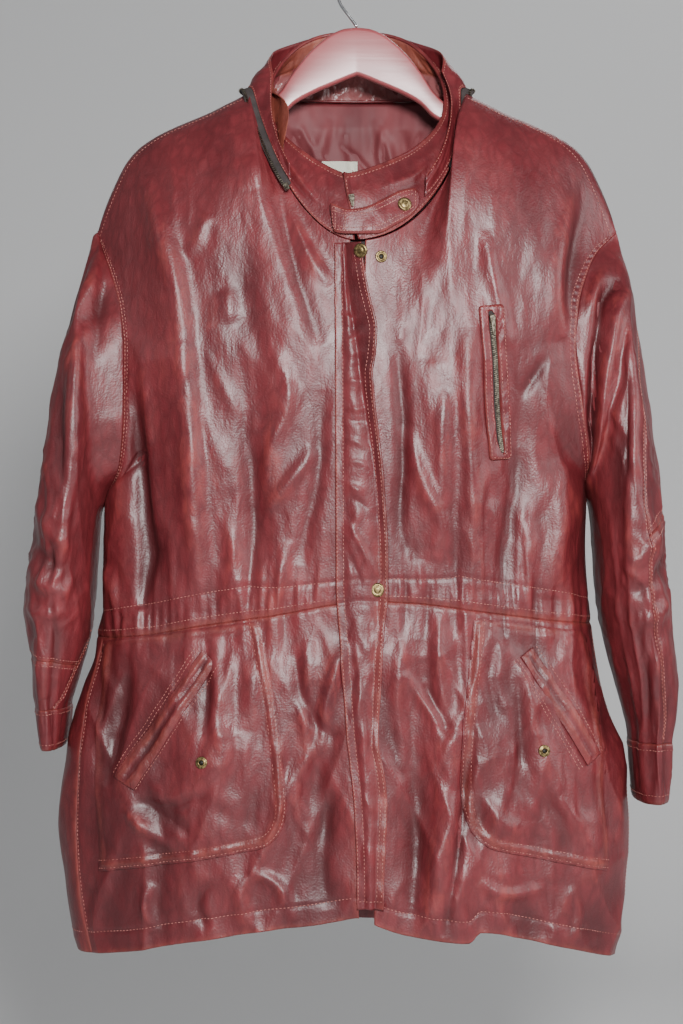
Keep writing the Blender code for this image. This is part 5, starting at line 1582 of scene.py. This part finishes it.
# ================================================================ Collar
# A stand collar of burgundy leather that leans forward. It is faced with softer orange-brown leather,
# with a glossy purple-brown band low down at the back, and piped where it joins the satin lining.
COLLAR_LEAN = {
    # angles from the centre of the back, in degrees, at the neck seam and at the top edge
    "seam": (0, 30, 60, 90, 118, 135, 150, 165, 180),
    "top": (0, 24, 48, 73, 99, 117, 135, 156, 180),
}
COLLAR_TOP_HALF_WIDTH, COLLAR_TOP_HALF_DEPTH, COLLAR_TOP_Y = 0.092, 0.064, -0.011
COLLAR_TOP_Z, COLLAR_TOP_SLOPE = -0.145, 0.087
COLLAR_BULGE, COLLAR_TWIST = 0.004, 0.009
COLLAR_RIGHT_END, COLLAR_TOP_EDGE = -178.6, 0.985
COLLAR_CREASES = (
    # half width, rise, then points; the rise is in millimetres, and the rest in tenths of a degree round the
    # collar from the centre of the back, and in thousandths of its height
    (50, 3, (-1600, 300), (-1450, 500), (-1300, 600)),
    (50, -2.6, (-1520, 200), (-1360, 360), (-1220, 440)),
    (40, 2.6, (-1400, 700), (-1200, 780), (-1000, 740)),
    (50, 3, (1300, 750), (1180, 550), (1120, 350)),
    (40, -2.8, (1220, 800), (1120, 640), (1020, 500)),
    (50, 2.6, (1620, 700), (1500, 600), (1380, 620)),
    (50, -2.2, (1700, 350), (1580, 460), (1440, 440)),
    (40, 2.2, (600, 300), (400, 500), (200, 450)),
    (40, 2.2, (-600, 400), (-400, 550), (-150, 500)),
)


def neck_seam(angle):
    """The neck seam at an angle in degrees from the centre of the back, positive to the wearer's left."""
    x = NECK_HALF_WIDTH * np.sin(np.radians(angle))
    reach = np.abs(np.cos(np.radians(angle)))
    in_front = np.abs(angle) > 90
    power = np.where(x > 0, NECK_DROP_POWER[LEFT], NECK_DROP_POWER[RIGHT])
    rise = np.where(in_front, -FRONT_NECK_DROP * reach**power, BACK_NECK_RISE * reach)
    y = NECK_Y + np.where(in_front, -1, 1) * NECK_HALF_DEPTH * reach
    return np.stack([x, y, SHOULDER["z"][0] + rise], axis=-1)


def collar_top(angle):
    turn = np.radians(read_table(COLLAR_LEAN, "seam", "top", np.abs(angle)))
    across = np.sin(turn) ** np.where(turn < np.pi / 2, 0.75, 1.7)
    x = np.sign(angle) * COLLAR_TOP_HALF_WIDTH * across
    x = x - COLLAR_TWIST * np.maximum(0, -np.cos(turn)) ** 4
    y = COLLAR_TOP_Y + COLLAR_TOP_HALF_DEPTH * np.cos(turn)
    return np.stack([x, y, COLLAR_TOP_Z + COLLAR_TOP_SLOPE * np.cos(turn)], axis=-1)


def collar_surface(angle, height):
    """The collar from its foot (0) to its top edge (1). Its foot keeps off the seam at the sides."""
    angle, height = spread(angle, height)
    angle = np.where(angle > 180, angle - 360, angle)
    foot = 0.003 + 0.089 * hump(np.abs(angle) - 122, 34)
    height = foot + (1 - foot) * height
    base = neck_seam(angle)
    middle = base + (collar_top(angle) - base) * height[..., None]
    outwards = middle - (0, NECK_Y, 0)
    outwards[..., 2] = 0
    return middle + unit(outwards) * (COLLAR_BULGE * np.sin(np.pi * limited(height)))[..., None]


def collar_normals(angle, height):
    over = collar_surface(angle + 1.0, height) - collar_surface(angle - 1.0, height)
    up = collar_surface(angle, height + 0.03) - collar_surface(angle, height - 0.03)
    return unit(np.cross(up, over))


def collar_skin(angle, height, level=0.0):
    """Points of the collar's creased leather, the height of its creases, and the way it faces."""
    angle, height = spread(angle, height)
    normals = collar_normals(angle, height)
    relief = crease_height(COLLAR_CREASES, angle / 100, height)
    relief += 0.0010 * soft_noise(angle / 16, height / 0.35, 140)
    relief += 0.0012 * (0.5 - np.abs(soft_noise(angle / 9 + 2 * height, height / 0.30, 141)))
    relief *= np.sin(np.pi * limited(height)) ** 0.5
    return collar_surface(angle, height) + normals * (relief + level)[..., None], relief, normals


def facing_leather(plain, worn, band):
    """The facing's leather. The mark "band" says where it turns into the glossy band at the back."""
    material, tree, shader = new_material("orange_brown_facing", 0.55)
    place = add_node(tree, "ShaderNodeTexCoord").outputs["Object"]
    grain = add_node(tree, "ShaderNodeGroup", {"node_tree": cowhide_grain}, Place=place, Crease_Size=0.008)
    color = ramp(tree, grain.outputs["Fine Cloud"], (0.38, plain), (0.68, worn))
    at_band = mark(tree, "band")
    color = blend_colors(tree, at_band, color, band)
    finish_surface(tree, shader, color, rescale(tree, at_band, after=(0.55, 0.30)),
                   (grain.outputs["Height"], 0.8, 0.0012))
    return material


def lap(angle):
    """How far the left end is lifted to lie over the right one, for angles that run on past 180."""
    return 0.0030 * limited((angle - 146) / 26) * limited((206 - angle) / 16)


def left_end(height):
    """The angle at which the left end of the collar is cut."""
    return 179.5 + 7.5 * height


share, height = crossed(np.linspace(0, 1, 289), even_steps(0.0, COLLAR_TOP_EDGE, 37))
angle = COLLAR_RIGHT_END + (left_end(height) - COLLAR_RIGHT_END) * share
edge = np.minimum(np.minimum(height, COLLAR_TOP_EDGE - height), (1 - share) * 6)
sewn_sheet("collar_stand_piece", collar_skin(angle, height, lap(angle)), ["collar_stand"], hump(edge, 0.05))

FACING_DEPTH, FACING_FOOT, BAND_TOP = 0.0036, 0.012, 0.50
angle, height = crossed(np.linspace(COLLAR_RIGHT_END, -COLLAR_RIGHT_END, 281),
                        even_steps(FACING_FOOT, COLLAR_TOP_EDGE, 37))
at_back = limited((96 - np.abs(angle)) / 20)
band = at_back * limited((BAND_TOP - height) / 0.06)
base, _, normals = collar_skin(angle, height)
sharp = 0.5 - np.abs(soft_noise(angle / 4 + 3 * height, height / 0.25, 151))
wrinkles = band * (0.0020 * soft_noise(angle / 5, height / 0.20, 150) + 0.0022 * sharp)
groove = 0.0010 * hump(height - BAND_TOP, 0.03) * at_back
roll = 0.0016 * limited((height - 0.93) / 0.055) ** 2
# On the right the facing bags inwards, in front of the hanger.
bagged = 0.038 * hump(angle + 107, 22) * limited(1 - height) ** 0.6
facing_points = base - normals * (FACING_DEPTH + wrinkles - groove - roll)[..., None]
facing_points += bagged[..., None] * (1.0, -0.25, 0.0)
facing = sewn_sheet("collar_inner_facing", (facing_points, wrinkles, -normals), ["collar_facing"],
                    cover=facing_leather((0.165, 0.033, 0.022), (0.265, 0.066, 0.042), (0.250, 0.080, 0.080)),
                    slot="tan_facing", thickness=0.0012)
band_mark = facing.data.attributes.new("band", "FLOAT", "POINT")
inside_points = len(facing.data.vertices) - band.size
band_mark.data.foreach_set("value", np.concatenate([band.ravel(), np.zeros(inside_points)]))

# A rolled leather edge closes the gap between the stand and its facing along the collar's top, and a piping
# covers the seam between the facing and the satin lining at the back.
top_angles = np.linspace(COLLAR_RIGHT_END, left_end(COLLAR_TOP_EDGE), 330)
foot_angles = np.linspace(-88, 88, 150)
rim_line = collar_skin(top_angles, COLLAR_TOP_EDGE, lap(top_angles) - 0.0018)[0]
piping_line = collar_surface(foot_angles, FACING_FOOT) - collar_normals(foot_angles, FACING_FOOT) * 0.0052
for name, line, radius, sides, relief, seam in (
    ("collar_rolled_edge", rim_line, 0.0020, 10, 0.6, 0.35),
    ("neck_piping", piping_line, 0.0016, 8, 0.4, 0.0),
):
    points, faces = sweep_round(line, np.full(len(line), radius), sides)
    marks = {"relief": np.full(len(points), relief), "seam": np.full(len(points), seam)}
    make_piece(name, points, faces, leather, "leather", marks)
rise = np.linspace(0.08, 0.92, 30)
for line_angles, line_height in (
    (np.linspace(-176, 185, 400), 0.93), (np.linspace(-176, 176, 400), 0.05), (left_end(rise) - 1.6, rise),
):
    sew(collar_skin(line_angles, line_height, lap(line_angles)))


# ================================================================ Hood zip
# A leather cover stands off round the collar, over half of a zip for a hood that isn't there: dark tape
# with a row of metal teeth, which ends in a small stop on the right.
COVER_HEIGHT = {
    "seam": (0, 90, 112.5, 135, 150, 157.5),
    "share": (0.97, 0.97, 0.88, 0.52, 0.36, 0.24),
}
COVER_FOOT, COVER_END, COVER_STAND_OFF = 0.14, 144, 0.0050
HOOD_TAPE_FOOT, HOOD_TAPE_LEFT_END = 0.12, 126


def cover_skin(angle, height):
    """The cover, from its foot (0) to its top edge (1), which drops towards the front."""
    angle, height = spread(angle, height)
    top = read_table(COVER_HEIGHT, "seam", "share", np.abs(angle))
    share = COVER_FOOT + (top - COVER_FOOT) * height
    normals = collar_normals(angle, share)
    relief = 0.0012 * soft_noise(angle / 12, height / 0.5, 160)
    relief += 0.0012 * (0.5 - np.abs(soft_noise(angle / 7 + 2 * height, height / 0.4, 161)))
    relief *= np.sin(np.pi * limited(height)) ** 0.5
    flare = 0.0060 * limited(height) ** 2 * limited((np.abs(angle) - 40) / 40)
    off = 0.0042 + COVER_STAND_OFF * share + flare + relief
    return collar_surface(angle, share) + normals * off[..., None], relief, normals


angle, height = crossed(np.linspace(-COVER_END, COVER_END, 241), even_steps(0, 1, 31))
sewn_sheet("collar_cover_piece", cover_skin(angle, height), ["collar_cover"],
           hump(np.minimum(height, 1 - height), 0.06))
for line_height in (0.08, 0.93):
    sew(cover_skin(np.linspace(2 - COVER_END, COVER_END - 2, 360), line_height))


def hood_tape(angle, share):
    """The tape, from its seam under the cover's foot (0) to its free edge, which lies on the shoulder (1)."""
    angle, share = spread(angle, share)
    normals = collar_normals(angle, HOOD_TAPE_FOOT)
    start = collar_surface(angle, HOOD_TAPE_FOOT) + normals * 0.0042
    outwards = neck_seam(angle) - (0, NECK_Y, 0)
    outwards[..., 2] = 0
    end = neck_seam(angle) + unit(outwards) * 0.0085 + normals * 0.0026
    return start + (end - start) * share[..., None], normals


angle, share = crossed(np.linspace(-COVER_END, HOOD_TAPE_LEFT_END, 221), np.linspace(0, 1, 7))
tape_points, tape_normals = hood_tape(angle, share)
sewn_sheet("hood_zip_strip", (tape_points, 0 * angle, tape_normals), ["hood_zip_tape"],
           cover=dark_tape, slot="zip_tape", thickness=0.0010)


# ================================================================ Throat tab
# A double-thickness leather tab crosses the collar's opening. It is sewn down by a stitched box on the
# right, and closed by a snap on the left.
TAB_TOP = {"x": (-0.0267, -0.0077, 0.0073, 0.0273, 0.0473, 0.0560, 0.0600, 0.0618, 0.0623),
           "z": (-0.2640, -0.2700, -0.2680, -0.2580, -0.2482, -0.2468, -0.2492, -0.2530, -0.2565)}
TAB_BOTTOM = {"x": (-0.0267, -0.0227, -0.0127, 0.0173, 0.0373, 0.0523, 0.0590, 0.0615, 0.0623),
              "z": (-0.2700, -0.2920, -0.2940, -0.2943, -0.2850, -0.2750, -0.2680, -0.2620, -0.2575)}
TAB_RIGHT, TAB_LEFT = TAB_TOP["x"][0], TAB_TOP["x"][-1]
TAB_THICKNESS, TAB_OFF, TAB_PITCH = 0.0024, 0.0020, 0.0032


def find_collar(x, z):
    """Places on the front of the collar; angles past 180 are on the wearer's right."""
    return find_places(lambda u, v: collar_surface(100 * u, v), x, z, 1.80 - x / 0.10, 0.35 + 0 * z)


def tab_skin(x, share, level=0.0):
    """The tab at x, from its lower edge (0) to its upper one (1)."""
    x, share = spread(x, share)
    low, high = read_table(TAB_BOTTOM, "x", "z", x), read_table(TAB_TOP, "x", "z", x)
    z = low + (high - low) * share
    angle, height = find_collar(x, z)
    normals = collar_normals(100 * angle, height)
    edge = np.minimum(np.minimum(share, 1 - share) * (high - low), np.minimum(x - TAB_RIGHT, TAB_LEFT - x))
    relief = 0.0006 * soft_noise(x / 0.012, z / 0.012, 170) - 0.0012 * hump(edge, 0.0016)
    off = TAB_OFF + TAB_THICKNESS + relief + level + lap(100 * angle)
    return collar_surface(100 * angle, height) + normals * off[..., None], relief, normals


x, share = crossed(even_steps(TAB_RIGHT, TAB_LEFT, 61), even_steps(0, 1, 25))
sewn_sheet("throat_tab_piece", tab_skin(x, share), ["throat_tab"], hump(np.minimum(share, 1 - share), 0.07),
           thickness=TAB_THICKNESS)
for line_share in (0.10, 0.24, 0.76, 0.90):
    sew(tab_skin(np.linspace(-0.024, 0.056, 90), line_share, 0.0002), TAB_PITCH)
for line_x in (-0.0245, -0.0215, -0.0120, 0.0570):
    sew(tab_skin(line_x, np.linspace(0.12, 0.88, 20), 0.0002), TAB_PITCH)


# ================================================================ Snaps
# Ring-and-post snaps of aged brass, spun from sheet: domed caps on the tab and the flap, and open sockets on
# the left front and on both pockets, each with a near-black disc in its hole as painted shade.
def aged_brass(name, bright, dark, roughness):
    material, tree, shader = new_material(name, roughness, 1.0)
    tarnish = noise(tree, (420, 420, 420), 5.0)
    color = ramp(tree, tarnish, (0.38, dark), (0.66, bright))
    rough = rescale(tree, tarnish, after=(roughness - 0.08, roughness + 0.22))
    finish_surface(tree, shader, color, rough, (tarnish, 0.25, 0.0002))
    return material


brass = aged_brass("aged_brass", (0.36, 0.27, 0.12), (0.11, 0.075, 0.035), 0.36)
# turned profiles of the snaps: radius and height
CAP_PROFILE = ((0.0, 0.0023), (0.0018, 0.00225), (0.0030, 0.0020), (0.0036, 0.0016), (0.0042, 0.0017),
               (0.0054, 0.0019), (0.0064, 0.0016), (0.0071, 0.0009), (0.0072, 0.0))
SOCKET_PROFILE = ((0.0021, -0.0006), (0.0022, 0.0011), (0.0027, 0.0018), (0.0034, 0.0019), (0.0041, 0.0013),
                  (0.0047, 0.0011), (0.0054, 0.0012), (0.0060, 0.0007), (0.0061, -0.0006))


SNAP_SIDES = 36
HOLE_RADIUS, HOLE_SIDES = 0.0022, 20


def spun_metal(name, profile, place, facing, node):
    """A turned metal piece: domed and closed if its profile starts at the middle, otherwise a ring."""
    across = unit(np.cross(facing, (0.0, 0.0, 1.0)))
    turn = np.linspace(0, 2 * np.pi, SNAP_SIDES, endpoint=False)[:, None]
    ring = np.cos(turn) * across + np.sin(turn) * np.cross(facing, across)
    rings = [place + radius * ring + high * facing for radius, high in profile if radius > 0]
    faces = tube_faces(len(rings), SNAP_SIDES, loop=len(rings) == len(profile))
    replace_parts(make_piece(name, np.concatenate(rings), faces, brass, "aged_brass"), node)


def box_middle(node):
    low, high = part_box(node)
    return np.array((low + high) / 2)


# A near-black disc that stands for the shade inside a socket's hole: painted shade.
def painted_snap_hole_shade():
    material, tree, shader = new_material("painted_snap_hole_shade", 0.6)
    color = ramp(tree, noise(tree, (900, 900, 900)), (0.3, (0.010, 0.009, 0.008)),
                 (0.7, (0.030, 0.024, 0.020)))
    finish_surface(tree, shader, color)
    return material


snap_hole_painted_shade = painted_snap_hole_shade()
for node, patch in (
    ("snap_top_socket", None), ("snap_pocket_right", POCKETS[RIGHT]), ("snap_pocket_left", POCKETS[LEFT]),
):
    middle = box_middle(node)
    x, z = middle[:1], middle[2:]
    base, _, normals = front_at(x, z)
    lift = 0.0003 + (patch_height(np.array(patch), x, z, *POCKET_FORM)[0][0] if patch else 0.0)
    place, facing = base[0] + normals[0] * lift, normals[0]
    spun_metal(node + "_ring", SOCKET_PROFILE, place, facing, node)
    # The hole is closed by a near-black disc, painted shade.
    turn = np.linspace(0, 6.0, HOLE_SIDES)[:, None]
    beside = unit(np.cross(facing, (0, 0, 1.0)))
    rim = place + HOLE_RADIUS * (np.cos(turn) * beside + np.sin(turn) * (0, 0, 1.0))
    disc = np.concatenate([rim + 0.0002 * facing, rim - 0.0006 * facing])
    make_piece(node + "_hole", disc, tube_faces(2, HOLE_SIDES), snap_hole_painted_shade, "aged_brass")

for node in ("snap_tab_cap", "snap_waist_cap", "snap_top_cap"):
    middle = box_middle(node)
    if node == "snap_tab_cap":
        low, high = (read_table(table, "x", "z", middle[0]) for table in (TAB_BOTTOM, TAB_TOP))
        spots, _, fronts = tab_skin(middle[:1], (middle[2:] - low) / (high - low))
    else:
        # A cap on the flap faces as the turned flap does there.
        down = (FLAP_TOP - middle[2:]) / (FLAP_TOP - FLAP_BOTTOM)
        seam, edge = read_flap(down, "seam_x", "edge_x")
        at = (middle[0] - seam) / (edge - seam)
        spots, _, fronts = flap_skin(at, down)
        over = flap_skin(at + 0.06, down)[0] - flap_skin(at - 0.06, down)[0]
        fall = flap_skin(at, down + 0.004)[0] - flap_skin(at, down - 0.004)[0]
        turned = unit(np.cross(over, fall))
        fronts = turned * np.sign((turned * fronts).sum(axis=-1, keepdims=True))
    spun_metal(node + "_disc", CAP_PROFILE, spots[0] + fronts[0] * 0.0002, fronts[0], node)


# ================================================================ Zip teeth
# Cast metal teeth, clamped on the edges of the tapes by turns: both rows of the front and chest zips,
# and the single row of the hood zip. Sliders and a stop are of the same aged metal.
zip_metal = aged_brass("aged_zip_metal", (0.34, 0.30, 0.23), (0.10, 0.085, 0.065), 0.34)


def repeat_along(name, rows, size, material, ball=False):
    """One piece made of a small shape, a block or a ball, repeated at points and turned to run along its row.

    rows holds (points, runs, outs). size is the shape's length, width and height.
    """
    tree = bpy.data.node_groups.new(name + "_maker", "GeometryNodeTree")
    tree.interface.new_socket("Geometry", in_out="INPUT", socket_type="NodeSocketGeometry")
    size_input = tree.interface.new_socket("Size", in_out="INPUT", socket_type="NodeSocketVector")
    metal_input = tree.interface.new_socket("Material", in_out="INPUT", socket_type="NodeSocketMaterial")
    tree.interface.new_socket("Geometry", in_out="OUTPUT", socket_type="NodeSocketGeometry")
    start, end = tree.nodes.new("NodeGroupInput"), tree.nodes.new("NodeGroupOutput")
    if ball:
        shape = add_node(tree, "GeometryNodeMeshUVSphere", Segments=6, Rings=4, Radius=0.5)
    else:
        shape = add_node(tree, "GeometryNodeMeshCube")
    run, out = (add_node(tree, "GeometryNodeInputNamedAttribute", {"data_type": "FLOAT_VECTOR"}, Name=key)
                for key in ("run", "out"))
    turn = add_node(tree, "FunctionNodeAxesToRotation", {"primary_axis": "Z", "secondary_axis": "X"},
                    Primary_Axis=out.outputs[0], Secondary_Axis=run.outputs[0])
    scattered = add_node(tree, "GeometryNodeInstanceOnPoints", Points=start.outputs["Geometry"],
                         Instance=shape.outputs["Mesh"], Rotation=turn.outputs[0],
                         Scale=start.outputs["Size"])
    made = add_node(tree, "GeometryNodeRealizeInstances", Geometry=scattered.outputs[0])
    painted = add_node(tree, "GeometryNodeSetMaterial", Geometry=made.outputs[0],
                       Material=start.outputs["Material"])
    tree.links.new(painted.outputs[0], end.inputs[0])

    points, runs, outs = (np.concatenate([row[k] for row in rows]) for k in range(3))
    seeds = bpy.data.meshes.new(name + "_points")
    seeds.from_pydata(points.tolist(), [], [])
    for key, values in (("run", runs), ("out", outs)):
        seeds.attributes.new(key, "FLOAT_VECTOR", "POINT").data.foreach_set("vector", values.ravel())
    maker = bpy.data.objects.new(name + "_maker", seeds)
    bpy.context.scene.collection.objects.link(maker)
    modifier = maker.modifiers.new("repeat", "NODES")
    modifier.node_group = tree
    modifier[size_input.identifier] = size
    modifier[metal_input.identifier] = material
    mesh = bpy.data.meshes.new_from_object(maker.evaluated_get(bpy.context.evaluated_depsgraph_get()))
    bpy.data.objects.remove(maker)
    mesh.name = name
    return place_piece(name, mesh, ball)


def teeth_rows(spots, normals, pitch, reach):
    """Two rows of teeth that mesh along a line, each tooth reaching out to its own side."""
    lengths = lengths_along(spots)
    rows = []
    for side, start in ((-1, pitch * 0.5), (1, pitch)):
        even = np.arange(start, lengths[-1], pitch)
        places, outs = read_line(spots, lengths, even), unit(read_line(normals, lengths, even))
        aside = unit(np.cross(outs, unit(np.gradient(places, axis=0))))
        rows.append((places + side * reach * aside, aside, outs))
    return rows


def on_chest_zip(share, level):
    """Points along the middle of the chest zip, and the way the front faces there."""
    top, bottom = (slot[0] + slot[1]) / 2, (slot[2] + slot[3]) / 2
    line = top + (bottom - top) * np.asarray(share)[:, None]
    spots, _, normals = front_at(line[:, 0], line[:, 1], level)
    return spots, normals


share = np.linspace(0.01, 1.920, 400)
across = 0.002 + OPENING_DRIFT * np.maximum(share - 1, 0)
front_spots, _, front_normals = skin(FRONT, across, share, tape_relief, -0.0012)
hood_spots, hood_normals = hood_tape(np.linspace(1 - COVER_END, HOOD_TAPE_LEFT_END - 1, 400), 0.86)
hood_rows = teeth_rows(hood_spots + 0.0008 * hood_normals, hood_normals, 0.0026, 0.0)
for name, rows, size in (
    ("front_zip_teeth", teeth_rows(front_spots, front_normals, 0.0026, 0.0012), (0.0032, 0.0014, 0.0016)),
    ("chest_zip_teeth", teeth_rows(*on_chest_zip(np.linspace(0.02, 0.99, 160), 0.0017), 0.0021, 0.0010),
     (0.0026, 0.0011, 0.0013)),
    ("hood_zip_teeth", hood_rows[:1], (0.0028, 0.0013, 0.0014)),
):
    repeat_along(name, rows, size, zip_metal)

# A slider's body seen from above, in shares of its length and width, its layers (height, size), and its pull.
SLIDER_OUTLINE = ((-0.5, 0.36), (-0.34, 0.5), (0.2, 0.44), (0.5, 0.26),
                  (0.5, -0.26), (0.2, -0.44), (-0.34, -0.5), (-0.5, -0.36))
SLIDER_LAYERS = ((0.0, 1.0), (0.0016, 1.0), (0.0024, 0.86))
PULL_OUTLINE = ((0.0, 0.30), (0.25, 0.34), (0.85, 0.26), (1.0, 0.12),
                (1.0, -0.12), (0.85, -0.26), (0.25, -0.34), (0.0, -0.30))
PULL_HEIGHTS = (0.0026, 0.0037)


def zip_slider(name, place, run, out, length, width, pull):
    """A slider body, tapered at one end, and a flat pull that hangs from it."""
    run, out = unit(np.asarray(run)), unit(np.asarray(out))
    side = np.cross(out, run)
    points = [place + run * a * length * scale + side * b * width * scale + out * high
              for high, scale in SLIDER_LAYERS for a, b in SLIDER_OUTLINE]
    points += [place + run * (a * pull - 0.1 * length) + side * b * width * 0.9 + out * high
               for high in PULL_HEIGHTS for a, b in PULL_OUTLINE]
    body, count = len(SLIDER_LAYERS) * len(SLIDER_OUTLINE), len(PULL_OUTLINE)
    faces = tube_faces(len(SLIDER_LAYERS), len(SLIDER_OUTLINE)) + tube_faces(len(PULL_HEIGHTS), count, body)
    make_piece(name, points, faces, zip_metal, "aged_brass", smooth=False)


(slider_top, slider_low), (slider_out, _) = on_chest_zip((0.06, 0.16), 0.0020)
zip_slider("chest_zip_slider", slider_top, slider_low - slider_top, slider_out, 0.0095, 0.0066, 0.017)
(next_spot, stop_spot), (_, stop_out) = hood_tape((-138.0, -143.5), 0.7)
zip_slider("hood_zip_stop", stop_spot + stop_out * 0.0008, stop_spot - next_spot, stop_out,
           0.0080, 0.0060, 0.006)

# The top of the front zip shows between the collar's ends, over the tab.
upper_end, lower_end = collar_surface(180.0, (0.62, 0.476)) + (0.0, -0.0030, 0.0)
zip_slider("front_zip_slider", upper_end, lower_end - upper_end, (0.0, -1.0, 0.0), 0.0090, 0.0064, 0.010)


# ================================================================ Stitching
# Thick rust-red polyester thread, sewn at 4 mm along every seam, edge and hem.
def rust_red_thread():
    material, tree, shader = new_material("rust_red_thread", 0.55)
    color = ramp(tree, noise(tree, (90, 90, 90), 3.0), (0.35, (0.290, 0.085, 0.070)),
                 (0.70, (0.540, 0.220, 0.185)))
    finish_surface(tree, shader, color, bump=(waves(tree, 800.0, 1.0, direction="X"), 0.4, 0.0002))
    return material


STITCH_LENGTH, THREAD_WIDTH, THREAD_HEIGHT = 0.0030, 0.0008, 0.0007
raised = [(points + 0.00005 * outs, runs, outs) for points, runs, outs in stitch_rows]
repeat_along("topstitching", raised, (STITCH_LENGTH, THREAD_WIDTH, THREAD_HEIGHT), rust_red_thread(),
             ball=True)
